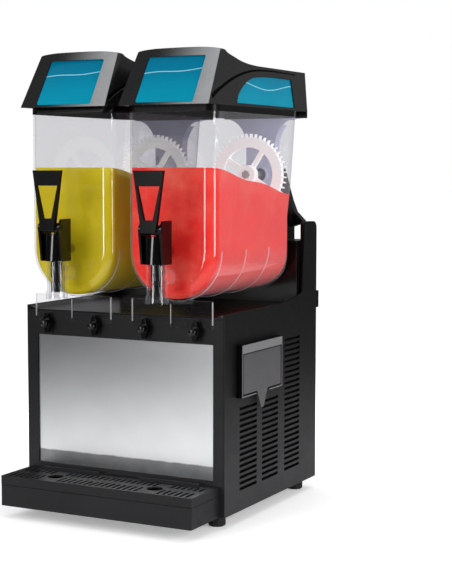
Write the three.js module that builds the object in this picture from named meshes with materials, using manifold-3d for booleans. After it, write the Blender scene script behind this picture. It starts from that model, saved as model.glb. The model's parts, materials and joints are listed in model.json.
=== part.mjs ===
// Two-bowl slush machine, built as separate pieces around one chassis.
// Millimetres, +Z up, +X to the right of someone facing the front, the front towards -Y.
// The origin is the middle of the footprint, on the surface that the feet stand on.
// Inside this file y = 0 is the front face of the chassis; the last lines centre the machine.

import * as THREE from 'three';
import { mergeVertices } from 'three/addons/utils/BufferGeometryUtils.js';
import Module from 'manifold-3d';

const wasm = await Module();
wasm.setup();

// Shared clearances
const fit = 0.3;            // gap left between pieces that touch
const runFit = 0.8;         // running gap of pieces that turn or slide
const over = 5;             // overrun of every cutting shape

// Facets of round pieces
const coarse = 10;
const round = 16;
const large = 24;

// Bowl, all radii and sides measured on its outside
const bowl = {
  half: 85.5, wall: 3, lift: 25, rise: 246, front: 10, between: 29, beside: 14.5,
  rearGap: 7, kneeRun: 13, topRun: 35, lowRise: 54, kneeRise: 105, cornerFront: 20, cornerRear: 35,
  rib: 1.1, ribWidth: 3, ribFirst: 16, ribStep: 92, ribCount: 3, ribRise: 30,
  apronEdge: 6.5, apronWall: 3, apronDrop: 20, apronNotch: 9.4,
};
const bowlPitch = 2 * bowl.half + bowl.between;

// Chassis
const bodyDepth = 383;      // front face to back edge of the side panels
const bodyHalf = bowlPitch / 2 + bowl.half + bowl.beside;
const footHeight = 22;
const footRadius = 15.5;
const footInset = 30;       // from the outside of the body to a foot's centre
const footStud = 4;         // radius of a foot's stud
const sideRise = 346;       // side panel above its bottom edge
const skin = 2.5;           // wall of moulded covers
const deckDrop = 6.5;       // deck surface below the side panels' top edge
const deckRamp = 15.5;      // width of the deck's raised edge
const panRim = 16;          // height of the base pan's rim

const innerHalf = bodyHalf - skin - fit;
const baseZ = footHeight;
const sideZ = baseZ + sideRise;
const deckZ = sideZ - deckDrop;
const axisZ = deckZ + bowl.lift + bowl.half;
const bowlTopZ = axisZ + bowl.rise;

// Rear posts, the raised rear ends of the side panels
const post = {
  rise: 145, depth: 56, width: 9, corner: 14, nose: 8,
  easeRise: 14, easeRun: 56, kneeRise: 4, tailRun: 116.2,
};
const postZ = sideZ + post.rise;
const postFrontY = bodyDepth - post.depth;

// Louvres of the side panels, each column placed by shares of the body's depth
const louvre = { first: 36, step: 10, height: 5.4, columnGap: 20 };
const louvreColumns = [
  { startShare: 0.1488, widthShare: 0.1776, slotCount: 15 },
  { startShare: 0.3812, widthShare: 0.1749, slotCount: 15 },
  { startShare: 0.6266, widthShare: 0.1749, slotCount: 25 },
];
const leftColumns = louvreColumns.slice(0, 2);
const backLouvre = { first: 110, step: 30, height: 8, width: 120, slotCount: 6 };

// Front
const fascia = { wall: 3, openSide: 22, openBottom: 62, openTop: 294 };
const splash = { sheet: 1, lap: 6 };

// Rear housing
const housing = {
  depth: 71, wall: 3, shelfRise: 110, blockEdge: 8, blockOver: 6, bellDepth: 18, bellEdge: 7.5,
  bellNeck: 34, bellOver: 11, earDepth: 4, lipDepth: 11, lipDrop: 20, lipRise: 12,
};
const bellShares = [[0, 0], [0.07, 0.09], [0.25, 0.374], [0.41, 0.606], [0.61, 0.828], [1, 1]];
const housingFront = bodyDepth - housing.depth;
const bellFront = bodyDepth - housing.bellDepth;
const rearLow = housingFront - bowl.rearGap;
const rearKnee = rearLow + bowl.kneeRun;
const rearTop = rearLow + bowl.topRun;

// Gears: a large wheel above the product drives the ring gear of the auger
const gear = {
  wallGap: 6.3, wheelTeeth: 48, ringTeeth: 36, width: 10, rearGap: 17, ringWall: 4.6,
  addendumShare: 0.9, dedendumShare: 1.2, thickShare: 0.42, rootShare: 1.5, rimShare: 0.69, phaseShare: 0.5,
  hub: 17.5, hubWidth: 16, spoke: 9, spokeCount: 4, spokeAngle: 57, shaft: 6,
  screwHead: 8, screwDepth: 3.4, screwSlot: 2.4,
};
const tipTeeth = gear.wheelTeeth / 2 + gear.addendumShare;
const gearModule = (bowl.half - bowl.wall - gear.wallGap) / tipTeeth;
const ringRoot = gearModule * (gear.ringTeeth / 2 - gear.dedendumShare);
const gearGap = gearModule * (gear.wheelTeeth + gear.ringTeeth) / 2;
const gearY = rearLow - gear.rearGap;
const wheelZ = axisZ + gearGap;

// Freezing drum and auger
const augerBore = ringRoot - gear.ringWall;
const drumRadius = augerBore - runFit;
const drum = { wall: 2, front: 15, rearIn: 18, flangeEdge: 3, flangeDepth: 6 };
const auger = {
  wallGap: 3, blade: 5, tipShares: [0.2, 0.8], turnLength: 76, start: 25, endGap: 16,
  barWidth: 7, barDepth: 6, barCount: 3, noseFront: 6, noseDepth: 8, pin: 8, socketWall: 3, socketDepth: 4,
};
const augerRadius = bowl.half - bowl.wall - auger.wallGap;
const gasket = { lip: 3, depth: 4 };
const blockHalf = drumRadius + housing.blockEdge;

// Upright behind each bowl and its gear motor
const upright = {
  depth: 22, wall: 3, neck: 30, foot: 34, topEdge: 11.5, flareRise: 52, flareSteps: 7, boss: 16, bossDepth: 3,
};
const uprightFront = bellFront - upright.depth;
const motor = { radius: 20, boss: 12, bossDepth: 5, socket: 12 };

// Tap
const tap = {
  y: 53, tube: 17, bore: 14, tubeDrop: 85, flange: 19, flangeHeight: 12, port: 9, portWall: 3.5,
  portDrop: 42, shroud: 21, shroudBottom: 19, shroudTop: 28, cheek: 4, cheekHalf: 22, cheekRise: 26,
  cheekBack: 12, pinForward: 17, pinRise: 11, pinRadius: 3, hub: 8.5, rod: 10, waist: 7, neck: 4,
  head: 9, headHeight: 4, prong: 4, prongGap: 10, prongHalf: 3, collarDrop: 13, collar: 13.2, collarHeight: 4,
};
const handle = {
  topHalf: 28.5, bottomHalf: 13.5, rise: 98, grip: 26, windowTop: 22, windowBottom: 9, thick: 8,
  windowFoot: 16,
};
const spring = { wire: 1.3, turnCount: 4, sideCount: 3, stepCount: 8 };

// Thumb knobs that hold the bowl's apron
const knob = {
  edge: 36, below: 3, hub: 8.2, depth: 12, wingHalf: 17.5, wingTip: 2.6, wingDepth: 8,
  stud: 3, studLength: 16, standOff: 0.5,
};
const knobX = bowl.half - knob.edge;

// Product in the bowl
const product = { frontRise: 142, rearRise: 92, wave: 2.2, waveCount: 2, stepCount: 9, tunnelGap: 1 };

// Lid; its roof is a curve from the crown down to the flat rear part
const lid = {
  wall: 3, overhang: 1, lean: 7, front: 33, bezelRise: 97.5, bezelRun: 59, crown: 98.7, crownRun: 66,
  roofRise: 72.4, rearGap: 17, rearDrop: 12, lipDepth: 4, arch: 6.5, skirtDrop: 11, skirtWall: 2.5,
};
const roofShares = [
  [0.033, 0.31], [0.075, 0.48], [0.1325, 0.635], [0.19, 0.795], [0.247, 0.89], [0.307, 0.958], [0.4, 1],
];
const archShares = [[0.55, 0.8], [0, 1], [-0.55, 0.8]];
const lidHalf = bowl.half + lid.overhang;
const lidTopHalf = lidHalf - lid.lean;
const lidRear = bodyDepth - lid.rearGap;
const frontLight = { edge: 24, foot: 4, height: 79 };
const sideLight = { foot: 5, front: 74, rearGap: 57, rearLean: 8, top: 56, curveRun: 150 };
const curveShares = [[0, 0], [0.05, 0.29], [0.23, 0.66], [0.44, 0.88], [0.7, 0.97], [1, 1]];

// Drip tray and its grid
const tray = {
  sideGap: 10, depth: 98.5, rise: 37, wall: 2.5,
  hookHalf: 9, hookX: 60, hookRise: 26, hookHeight: 6, hookReach: 8,
};
const trayHalf = bodyHalf - tray.sideGap;
const grid = {
  rise: 16, wall: 2.5, plate: 3, lipDrop: 4, step: 11, slot: 5,
  frontStart: 6, frontLength: 30, rearStart: 52, rearLength: 23,
  hole: 14, holeDepth: 37, land: 3, end: 14, rib: 60, ribRise: 5, ribDepth: 4, ribY: 12,
};

// Controls on the right side
const box = {
  y: 44, z: 199, width: 164, height: 92, proud: 10, rail: 6, header: 16, sill: 5, wall: 2, depth: 9,
  flapThick: 2.8, flapGap: 1, barrel: 2.5, pin: 1.4, pinLength: 4,
  tongueY: 82, tongueHalf: 22, tongueDrop: 26, tongueTip: 4,
};
const rocker = {
  width: 18, half: 13.5, back: 4, backShare: 0.8, crown: 4.5, dish: 2,
  first: 26, step: 33, count: 4, drop: 4, gap: 0.7, tiltAngle: 8,
};

// Cooling parts on the base pan
const compressor = { x: -70, radius: 58, height: 118, dome: 22, plateX: 150, plateY: 120, plateZ: 5 };
const domeShares = [[1, 1], [0.92, 0.5], [0.65, 0.125], [0, 0]];
const condenser = {
  sideGap: 50, rearGap: 58, width: 38, length: 180, height: 165, finCount: 8, finWidth: 9, core: 10,
};
const condenserX = bodyHalf - condenser.sideGap;
const condenserY = bodyDepth - condenser.rearGap - condenser.length;
const fan = {
  rise: 88, radius: 66, hub: 16, depth: 18, bladeCount: 5, bladeWall: 2, bladeAngle: 35, gap: 8, shaft: 3,
};
const fanY = condenserY + condenser.length / 2;
const fanMotor = { radius: 24, length: 38, nose: 6, footHalf: 16, footDepth: 26 };

// Mains inlet
const inlet = { sideGap: 60, rise: 42, half: 14, height: 20, flange: 6, depth: 26, recess: 16, wall: 2.5 };
const inletX = inlet.sideGap - bodyHalf;

// Finishes
const finish = (color, roughness, metalness, extra = {}) => (
  new THREE.MeshStandardMaterial({ color, roughness, metalness, ...extra })
);
const blackGloss = finish(0x1c1b1d, 0.25, 0);
const blackSatin = finish(0x2b2a2c, 0.45, 0);
const blackTray = finish(0x2d2d2f, 0.5, 0);
const steel = finish(0xb9bbbd, 0.25, 1);
const drumSteel = finish(0xc4c6c8, 0.3, 1);
const clearPlastic = finish(0xdfe3f0, 0.08, 0, { transparent: true, opacity: 0.35 });
const whitePlastic = finish(0xf2f2f0, 0.4, 0);
const lilacPlastic = finish(0xb4b6d2, 0.35, 0);
const redSlush = finish(0xe13c37, 0.35, 0);
const yellowSlush = finish(0xbeaf1e, 0.35, 0);
const blueLight = finish(0x0087b4, 0.2, 0);
const rubber = finish(0x151515, 0.9, 0);
const greyPlastic = finish(0x5a5a5c, 0.45, 0);
const castBlack = finish(0x202022, 0.6, 0.2);
const aluminium = finish(0xc9cbcc, 0.45, 1);

// Solids

function solid(geometry) {
  const bare = geometry.clone();
  bare.deleteAttribute('normal');
  bare.deleteAttribute('uv');
  const merged = mergeVertices(bare, 1e-4);
  return new wasm.Manifold(new wasm.Mesh({
    numProp: 3,
    vertProperties: new Float32Array(merged.attributes.position.array),
    triVerts: new Uint32Array(merged.index.array),
  }));
}

function meshOf(name, shape, material) {
  const data = shape.getMesh();
  const geometry = new THREE.BufferGeometry();
  geometry.setAttribute('position', new THREE.BufferAttribute(data.vertProperties, 3));
  geometry.setIndex(new THREE.BufferAttribute(data.triVerts, 1));
  geometry.computeVertexNormals();
  const mesh = new THREE.Mesh(geometry, material);
  mesh.name = name;
  return mesh;
}

function block([x0, x1], [y0, y1], [z0, z1]) {
  const geometry = new THREE.BoxGeometry(x1 - x0, y1 - y0, z1 - z0);
  geometry.translate((x0 + x1) / 2, (y0 + y1) / 2, (z0 + z1) / 2);
  return solid(geometry);
}

function extruded(points, depth) {
  const shape = new THREE.Shape(points.map(([u, v]) => new THREE.Vector2(u, v)));
  return new THREE.ExtrudeGeometry(shape, { depth, bevelEnabled: false, steps: 1 });
}

// Outline given in (y, z), extruded along X
function prismX(points, x0, x1) {
  const geometry = extruded(points, x1 - x0);
  const axes = new THREE.Matrix4().makeBasis(
    new THREE.Vector3(0, 1, 0), new THREE.Vector3(0, 0, 1), new THREE.Vector3(1, 0, 0),
  );
  geometry.applyMatrix4(axes);
  geometry.translate(x0, 0, 0);
  return solid(geometry);
}

// Outline given in (x, z), extruded along Y
function prismY(points, y0, y1) {
  const geometry = extruded(points, y1 - y0);
  geometry.rotateX(Math.PI / 2);
  geometry.translate(0, y1, 0);
  return solid(geometry);
}

// Outline given in (x, y), extruded along Z
function prismZ(points, z0, z1) {
  const geometry = extruded(points, z1 - z0);
  geometry.translate(0, 0, z0);
  return solid(geometry);
}

function rodX(radius, x0, x1, y, z, sides = round) {
  const geometry = new THREE.CylinderGeometry(radius, radius, x1 - x0, sides);
  geometry.rotateZ(-Math.PI / 2);
  geometry.translate((x0 + x1) / 2, y, z);
  return solid(geometry);
}

function rodY(radius, y0, y1, x, z, sides = round) {
  const geometry = new THREE.CylinderGeometry(radius, radius, y1 - y0, sides);
  geometry.translate(x, (y0 + y1) / 2, z);
  return solid(geometry);
}

function rodZ(radius, z0, z1, x, y, sides = round) {
  const geometry = new THREE.CylinderGeometry(radius, radius, z1 - z0, sides);
  geometry.rotateX(Math.PI / 2);
  geometry.translate(x, y, (z0 + z1) / 2);
  return solid(geometry);
}

function join(shapes) {
  return shapes.reduce((sum, shape) => sum.add(shape));
}

function arc(cx, cy, radius, from, to, steps) {
  const points = [];
  for (let i = 0; i <= steps; i += 1) {
    const angle = THREE.MathUtils.degToRad(from + (to - from) * i / steps);
    points.push([cx + radius * Math.cos(angle), cy + radius * Math.sin(angle)]);
  }
  return points;
}

function rectangle(u0, u1, v0, v1) {
  return [[u0, v0], [u1, v0], [u1, v1], [u0, v1]];
}

const both = [-1, 1];

// Span of a length about its middle
function about(middle, half) {
  return [middle - half, middle + half];
}

// Span from one distance to a larger one on the given side of x = 0
function onSide(side, near, far) {
  return side < 0 ? [-far, -near] : [near, far];
}

// Chassis pieces

// Floor pan and back wall, bent from one sheet
function chassis() {
  const front = fascia.wall + fit;
  const outer = block(about(0, innerHalf), [front, bodyDepth], [baseZ, baseZ + panRim]);
  const inner = block(
    about(0, innerHalf - skin), [front + skin, bodyDepth - skin], [baseZ + skin, baseZ + panRim + over],
  );
  let pan = outer.subtract(inner).add(backWall());
  for (const [x, y] of footPlaces()) {
    pan = pan.subtract(rodZ(footStud + fit, baseZ - over, baseZ + skin + over, x, y, coarse));
  }
  return pan;
}

function footPlaces() {
  const x = bodyHalf - footInset;
  const rear = bodyDepth - footInset;
  return [[-x, footInset], [x, footInset], [-x, rear], [x, rear]];
}

function foot() {
  const profile = [
    [0, 0], [footRadius - skin, 0], [footRadius, skin], [footRadius, footHeight - fit],
    [footStud, footHeight - fit], [footStud, footHeight + 2 * skin], [0, footHeight + 2 * skin],
  ].map(([r, z]) => new THREE.Vector2(r, z));
  const geometry = new THREE.LatheGeometry(profile, coarse);
  geometry.rotateX(Math.PI / 2);
  return solid(geometry);
}

function sideOutline() {
  return [
    [0, baseZ], [bodyDepth, baseZ],
    ...arc(bodyDepth - post.corner, postZ - post.corner, post.corner, 0, 90, 5),
    ...arc(postFrontY + post.nose, postZ - post.nose, post.nose, 90, 180, 4),
    [postFrontY - post.nose, sideZ + post.easeRise],
    [postFrontY - post.nose - post.easeRun, sideZ + post.kneeRise],
    [postFrontY - post.tailRun, sideZ],
    [0, sideZ],
  ];
}

function louvreCuts(columns) {
  const cuts = [];
  const x = [bodyHalf - skin - over, bodyHalf + over];
  for (const { startShare, widthShare, slotCount } of columns) {
    const start = startShare * bodyDepth;
    const end = start + widthShare * bodyDepth;
    for (let i = 0; i < slotCount; i += 1) {
      const z = baseZ + louvre.first + i * louvre.step;
      cuts.push(block(x, [start, end], [z, z + louvre.height]));
    }
  }
  return join(cuts);
}

function boxWindow() {
  const z0 = baseZ + box.z;
  return {
    y: [box.y + box.rail, box.y + box.width - box.rail],
    z: [z0 + box.sill, z0 + box.height - box.header],
  };
}

// Side panel for the right; the left one is its mirror image without the control opening
function sidePanel(side) {
  let panel = prismX(sideOutline(), bodyHalf - skin, bodyHalf);
  const postBlock = block(
    [bodyHalf - post.width, bodyHalf], [postFrontY, bodyDepth], [deckZ + fit, postZ + over],
  ).intersect(prismX(sideOutline(), bodyHalf - post.width - over, bodyHalf + over));
  panel = panel.add(postBlock);
  panel = panel.subtract(louvreCuts(side > 0 ? louvreColumns : leftColumns));
  if (side > 0) {
    const opening = tubOutline(fit);
    panel = panel.subtract(block([bodyHalf - skin - over, bodyHalf + over], opening.y, opening.z));
  }
  return side > 0 ? panel : panel.mirror([1, 0, 0]);
}

function fasciaPlate() {
  const top = deckZ - skin - fit;
  let shape = block(about(0, innerHalf), [0, fascia.wall], [baseZ, top]);
  const through = [-over, fascia.wall + over];
  const openZ = [baseZ + fascia.openBottom, baseZ + fascia.openTop];
  shape = shape.subtract(block(about(0, bodyHalf - fascia.openSide), through, openZ));
  for (const x of knobPlaces()) {
    shape = shape.subtract(rodY(knob.stud + fit, -over, fascia.wall + over, x, knobZ(), coarse));
  }
  for (const side of both) {
    const x = side * tray.hookX;
    const z = baseZ + tray.hookRise;
    shape = shape.subtract(block(
      about(x, tray.hookHalf + fit), through, [z - fit, z + tray.hookHeight + fit],
    ));
  }
  return shape;
}

function splashPanel() {
  const half = bodyHalf - fascia.openSide + splash.lap;
  const y0 = fascia.wall + fit;
  return block(
    about(0, half), [y0, y0 + splash.sheet],
    [baseZ + fascia.openBottom - splash.lap, baseZ + fascia.openTop + splash.lap],
  );
}

function deck() {
  const plateShape = block(
    about(0, innerHalf), [0, bodyDepth - skin - 2 * fit], [deckZ - skin, deckZ],
  );
  const foot = innerHalf - deckRamp;
  const outline = [[foot, deckZ - skin], [innerHalf, deckZ - skin], [innerHalf, sideZ], [foot, deckZ]];
  const ramp = prismY(outline, 0, housingFront - fit);
  return join([plateShape, ramp, ramp.mirror([1, 0, 0])]);
}

function backWall() {
  const y0 = bodyDepth - skin;
  let shape = block(about(0, innerHalf), [y0, bodyDepth], [baseZ, sideZ - housing.lipDrop - fit]);
  const through = [y0 - over, bodyDepth + over];
  const slotHalf = backLouvre.width / 2;
  for (let i = 0; i < backLouvre.slotCount; i += 1) {
    const z = baseZ + backLouvre.first + i * backLouvre.step;
    for (const side of both) {
      const x = side * (slotHalf + louvre.columnGap);
      shape = shape.subtract(block(about(x, slotHalf), through, [z, z + backLouvre.height]));
    }
  }
  const inletZ = baseZ + inlet.rise;
  return shape.subtract(block(
    about(inletX, inlet.half + fit), through, [inletZ - fit, inletZ + inlet.height + fit],
  ));
}

function powerInlet() {
  const z = baseZ + inlet.rise;
  const outside = bodyDepth + fit;
  const recessY = bodyDepth - inlet.recess;
  const body = block(
    about(inletX, inlet.half), [bodyDepth - inlet.depth, outside + skin / 2], [z, z + inlet.height],
  );
  const flange = block(
    about(inletX, inlet.half + inlet.flange), [outside, outside + skin], [z - skin, z + inlet.height + skin],
  );
  const socket = block(
    about(inletX, inlet.half - inlet.wall), [recessY, bodyDepth + over],
    [z + inlet.wall, z + inlet.height - inlet.wall],
  );
  const blades = [-1, 0, 1].map((i) => block(
    about(inletX + i * inlet.half / 2, inlet.wall / 2),
    [recessY - inlet.wall, recessY + 2 * inlet.recess / 3],
    about(z + inlet.height / 2, inlet.wall),
  ));
  return join([body.add(flange).subtract(socket), ...blades]);
}

// Rear housing: shelf, drum blocks and bell-shaped uprights, hollow from below

function bellOutline(inset) {
  const neck = housing.bellNeck - inset;
  const half = bowl.half - housing.bellEdge - inset;
  const top = wheelZ + housing.bellOver - inset;
  const foot = postZ + inset;
  const flank = bellShares.map(([u, v]) => [neck + u * (half - neck), top - v * (top - foot)]);
  const low = sideZ + housing.shelfRise - inset;
  const waist = blockHalf - inset;
  const earZ = foot - housing.earDepth + 2 * inset;
  const right = [...flank, [half, earZ], [waist, foot - 3 * housing.earDepth], [waist, low]];
  const left = right.map(([x, z]) => [-x, z]).reverse();
  return [...left, ...right].reverse();
}

function rearHousing() {
  const { wall } = housing;
  const z0 = deckZ + fit;
  const shelfZ = sideZ + housing.shelfRise;
  const blockZ = axisZ + drumRadius + housing.blockOver;
  const half = bodyHalf - post.width - fit;
  const lowHalf = innerHalf - deckRamp - fit;
  const outerY = [housingFront, bodyDepth];
  const innerY = [housingFront + wall, bodyDepth - wall];
  const bellY = [bellFront - over, bodyDepth - wall];
  let outer = block(about(0, half), outerY, [z0, shelfZ]);
  let inner = block(about(0, half - wall), innerY, [z0 - over, shelfZ - wall]);
  for (const side of both) {
    const x = side * bowlPitch / 2;
    const cap = motor.radius + runFit;
    outer = join([
      outer,
      block(about(x, blockHalf), outerY, [z0, blockZ]),
      prismY(bellOutline(0), bellFront, bodyDepth).translate([x, 0, 0]),
      rodY(cap + wall, bellFront, bodyDepth, x, wheelZ),
    ]);
    inner = join([
      inner,
      block(about(x, blockHalf - wall), innerY, [z0 - over, blockZ - wall]),
      rodY(cap, bellY[0], bellY[1], x, wheelZ),
      block(
        about(x, housing.bellNeck - wall), bellY, [blockZ - 2 * wall, wheelZ + housing.bellOver - wall],
      ),
    ]);
  }
  const lipTop = sideZ + housing.lipRise;
  const lip = block(
    about(0, bodyHalf), [bodyDepth + fit, bodyDepth + housing.lipDepth], [sideZ - housing.lipDrop, lipTop],
  );
  const lipNeck = block(about(0, lowHalf), [bodyDepth - fit, bodyDepth + fit + skin], [z0 + skin, lipTop]);
  let shape = join([outer, lip, lipNeck]).subtract(inner);
  for (const side of both) {
    const x = side * bowlPitch / 2;
    shape = shape.subtract(
      rodY(drumRadius + fit, housingFront - over, housingFront + 2 * wall, x, axisZ, large),
    );
  }
  return shape;
}

// Bowl

function roundedPlan(half, front, rear, cornerFront, cornerRear) {
  return [
    ...arc(half - cornerFront, front + cornerFront, cornerFront, -90, 0, 3),
    ...arc(half - cornerRear, rear - cornerRear, cornerRear, 0, 90, 3),
    ...arc(-half + cornerRear, rear - cornerRear, cornerRear, 90, 180, 3),
    ...arc(-half + cornerFront, front + cornerFront, cornerFront, 180, 270, 3),
  ];
}

// Closed body through plan outlines with the same number of points
function stack(levels) {
  const count = levels[0].points.length;
  const positions = [];
  const indices = [];
  for (const { z, points } of levels) {
    for (const [x, y] of points) positions.push(x, y, z);
  }
  for (let k = 0; k + 1 < levels.length; k += 1) {
    for (let i = 0; i < count; i += 1) {
      const a = k * count + i;
      const b = k * count + (i + 1) % count;
      indices.push(a, b, b + count, a, b + count, a + count);
    }
  }
  const contour = levels[0].points.map(([x, y]) => new THREE.Vector2(x, y));
  const faces = THREE.ShapeUtils.triangulateShape(contour, []);
  const last = (levels.length - 1) * count;
  for (const [a, b, c] of faces) {
    indices.push(c, b, a);
    indices.push(last + a, last + b, last + c);
  }
  const geometry = new THREE.BufferGeometry();
  geometry.setAttribute('position', new THREE.Float32BufferAttribute(positions, 3));
  geometry.setIndex(indices);
  return solid(geometry);
}

function troughOutline(radius, topZ) {
  return [[radius, topZ], [-radius, topZ], ...arc(0, axisZ, radius, 180, 360, 14)];
}

// The space inside or outside the bowl's wall: inset 0 is the outside
function bowlBody(inset, topZ) {
  const half = bowl.half - inset;
  const front = inset - bowl.front;
  const corners = [bowl.cornerFront - inset, bowl.cornerRear - inset];
  const plan = (z, rear) => ({ z, points: roundedPlan(half, front, rear - inset, ...corners) });
  const tall = stack([
    plan(axisZ - 2 * bowl.half, rearLow),
    plan(axisZ + bowl.lowRise, rearLow),
    plan(axisZ + bowl.kneeRise, rearKnee),
    plan(topZ, rearTop),
  ]);
  return tall.intersect(prismY(troughOutline(half, topZ), -bowl.front - over, rearTop + over));
}

function bowlShell() {
  const backFace = rearTop + over;
  const inFront = bowl.wall - bowl.front;
  const pinHole = auger.pin + runFit;
  const socketEnd = inFront + auger.socketDepth;
  let shape = bowlBody(0, bowlTopZ);
  for (let i = 0; i < bowl.ribCount; i += 1) {
    const y = bowl.ribFirst + i * bowl.ribStep;
    const ring = prismY(troughOutline(bowl.half + bowl.rib, axisZ + bowl.ribRise), y, y + bowl.ribWidth);
    shape = shape.add(ring);
  }
  shape = join([shape, apron(), spoutOutside()]);
  shape = shape.subtract(bowlBody(bowl.wall, bowlTopZ + over));
  shape = shape.add(rodY(pinHole + auger.socketWall, fit - bowl.front, socketEnd, 0, axisZ));
  const holes = join([
    rodY(pinHole, inFront, bowl.front, 0, axisZ),
    spoutInside(),
    rodY(gasketOuter() + fit, rearLow - 2 * bowl.wall, backFace, 0, axisZ, large),
    rodY(gear.shaft + 2 * runFit, gearY + gear.hubWidth, backFace, 0, wheelZ),
  ]);
  return shape.subtract(holes);
}

function apron() {
  const apronHalf = bowl.half - bowl.apronEdge;
  const back = -fit;
  const front = back - bowl.apronWall;
  const under = axisZ - bowl.half;
  const bottomZ = deckZ - bowl.apronDrop;
  const faceY = fit - bowl.front;
  let shape = block(about(0, apronHalf), [front, back], [bottomZ, under + bowl.wall]);
  const bridge = prismX(
    [
      [front, under - bowl.wall], [back, under - bowl.wall], [back + bowl.wall, under + bowl.wall],
      [faceY, under + bowl.half / 2], [faceY, under + bowl.wall],
    ],
    -apronHalf / 2, apronHalf / 2,
  );
  shape = shape.add(bridge.subtract(bowlBody(bowl.wall / 2, bowlTopZ)));
  for (const side of both) {
    shape = shape.subtract(rodY(bowl.apronNotch, -bowl.front, 0, side * knobX, knobZ()));
  }
  const ridge = prismZ(
    [[-bowl.wall, front + fit], [bowl.wall, front + fit], [0, front - bowl.apronWall]],
    bottomZ + bowl.wall, under,
  );
  return shape.add(ridge);
}

function spoutOutside() {
  const tubeTop = axisZ + fit;
  const bottom = axisZ - tap.tubeDrop;
  const portZ = axisZ - tap.portDrop;
  return join([
    rodZ(tap.tube, bottom, tubeTop, 0, -tap.y),
    rodZ(tap.flange, bottom, bottom + tap.flangeHeight, 0, -tap.y),
    rodY(tap.port + tap.portWall, -tap.y, -bowl.front + bowl.wall / 2, 0, portZ),
  ]);
}

function spoutInside() {
  const portZ = axisZ - tap.portDrop;
  return join([
    rodZ(tap.bore, axisZ - tap.tubeDrop - over, axisZ + over, 0, -tap.y),
    rodY(tap.port, -tap.y, -bowl.front + bowl.wall + over, 0, portZ),
  ]);
}

function gasketOuter() {
  return drumRadius + fit + gasket.lip;
}

function bowlGasket() {
  const y0 = rearLow - gasket.depth;
  const y1 = housingFront - fit;
  const sleeve = rodY(gasketOuter(), y0, y1, 0, axisZ, large);
  const collar = rodY(gasketOuter() + gasket.lip, rearLow + fit, y1, 0, axisZ, large);
  return sleeve.add(collar).subtract(rodY(drumRadius + fit, y0 - over, y1 + over, 0, axisZ, large));
}

// Freezing drum, auger and gears

function freezingDrum() {
  const rear = housingFront + drum.rearIn;
  const flangeY = housingFront + housing.wall + fit;
  const can = rodY(drumRadius, drum.front, rear, 0, axisZ, large);
  const flange = rodY(drumRadius + drum.flangeEdge, flangeY, flangeY + drum.flangeDepth, 0, axisZ, large);
  const hollow = rodY(drumRadius - drum.wall, drum.front + drum.wall, rear + over, 0, axisZ, large);
  return can.add(flange).subtract(hollow);
}

function helixBlade(inner, outer, y0, y1) {
  const turns = (y1 - y0) / auger.turnLength;
  const steps = Math.ceil(turns * round);
  const inset = inner / Math.cos(Math.PI * turns / steps);
  const [near, far] = auger.tipShares.map((share) => share * auger.blade);
  const section = [[inset, 0], [outer, near], [outer, far], [inset, auger.blade]];
  const positions = [];
  const indices = [];
  for (let i = 0; i <= steps; i += 1) {
    const angle = turns * 2 * Math.PI * i / steps;
    const y = y0 + (y1 - y0) * i / steps;
    for (const [r, dy] of section) positions.push(r * Math.cos(angle), y + dy, r * Math.sin(angle));
  }
  for (let i = 0; i < steps; i += 1) {
    for (let k = 0; k < 4; k += 1) {
      const a = 4 * i + k;
      const b = 4 * i + (k + 1) % 4;
      indices.push(a, b, b + 4, a, b + 4, a + 4);
    }
  }
  const last = 4 * steps;
  indices.push(0, 2, 1, 0, 3, 2, last, last + 1, last + 2, last, last + 2, last + 3);
  const geometry = new THREE.BufferGeometry();
  geometry.setAttribute('position', new THREE.Float32BufferAttribute(positions, 3));
  geometry.setIndex(indices);
  return solid(geometry).translate([0, 0, axisZ]);
}

// Toothed outline about the origin; phase turns it by a share of one tooth
function toothed(teeth, phaseShare) {
  const pitchRadius = gearModule * teeth / 2;
  const tip = pitchRadius + gearModule * gear.addendumShare;
  const root = pitchRadius - gearModule * gear.dedendumShare;
  const step = 2 * Math.PI / teeth;
  const rootHalf = gear.thickShare * step * gear.rootShare / 2;
  const points = [];
  for (let i = 0; i < teeth; i += 1) {
    const middle = (i + phaseShare) * step;
    for (const [r, a] of [[root, -rootHalf], [tip, 0], [root, rootHalf]]) {
      points.push([r * Math.cos(middle + a), r * Math.sin(middle + a)]);
    }
  }
  return points;
}

function augerShape() {
  const gearEnd = gearY + gear.width;
  const ring = prismY(toothed(gear.ringTeeth, 0), gearY, gearEnd).translate([0, 0, axisZ]);
  const blade = helixBlade(augerBore + fit, augerRadius, auger.start, gearY - auger.endGap);
  const noseEnd = auger.noseFront + auger.noseDepth;
  const barTop = augerBore + auger.barDepth;
  const bars = [];
  for (let i = 0; i < auger.barCount; i += 1) {
    const bar = block(
      about(0, auger.barWidth / 2), [auger.noseFront, gearY + over], [augerBore - fit, barTop],
    );
    bars.push(bar.rotate([0, 360 * i / auger.barCount, 0]).translate([0, 0, axisZ]));
  }
  const nose = rodY(barTop, auger.noseFront, noseEnd, 0, axisZ);
  const pin = rodY(auger.pin, -bowl.front + bowl.wall + fit, auger.noseFront + fit, 0, axisZ);
  const bore = rodY(augerBore, noseEnd, gearEnd + over, 0, axisZ, large);
  return join([ring, blade, nose, pin, ...bars]).subtract(bore);
}

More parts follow.
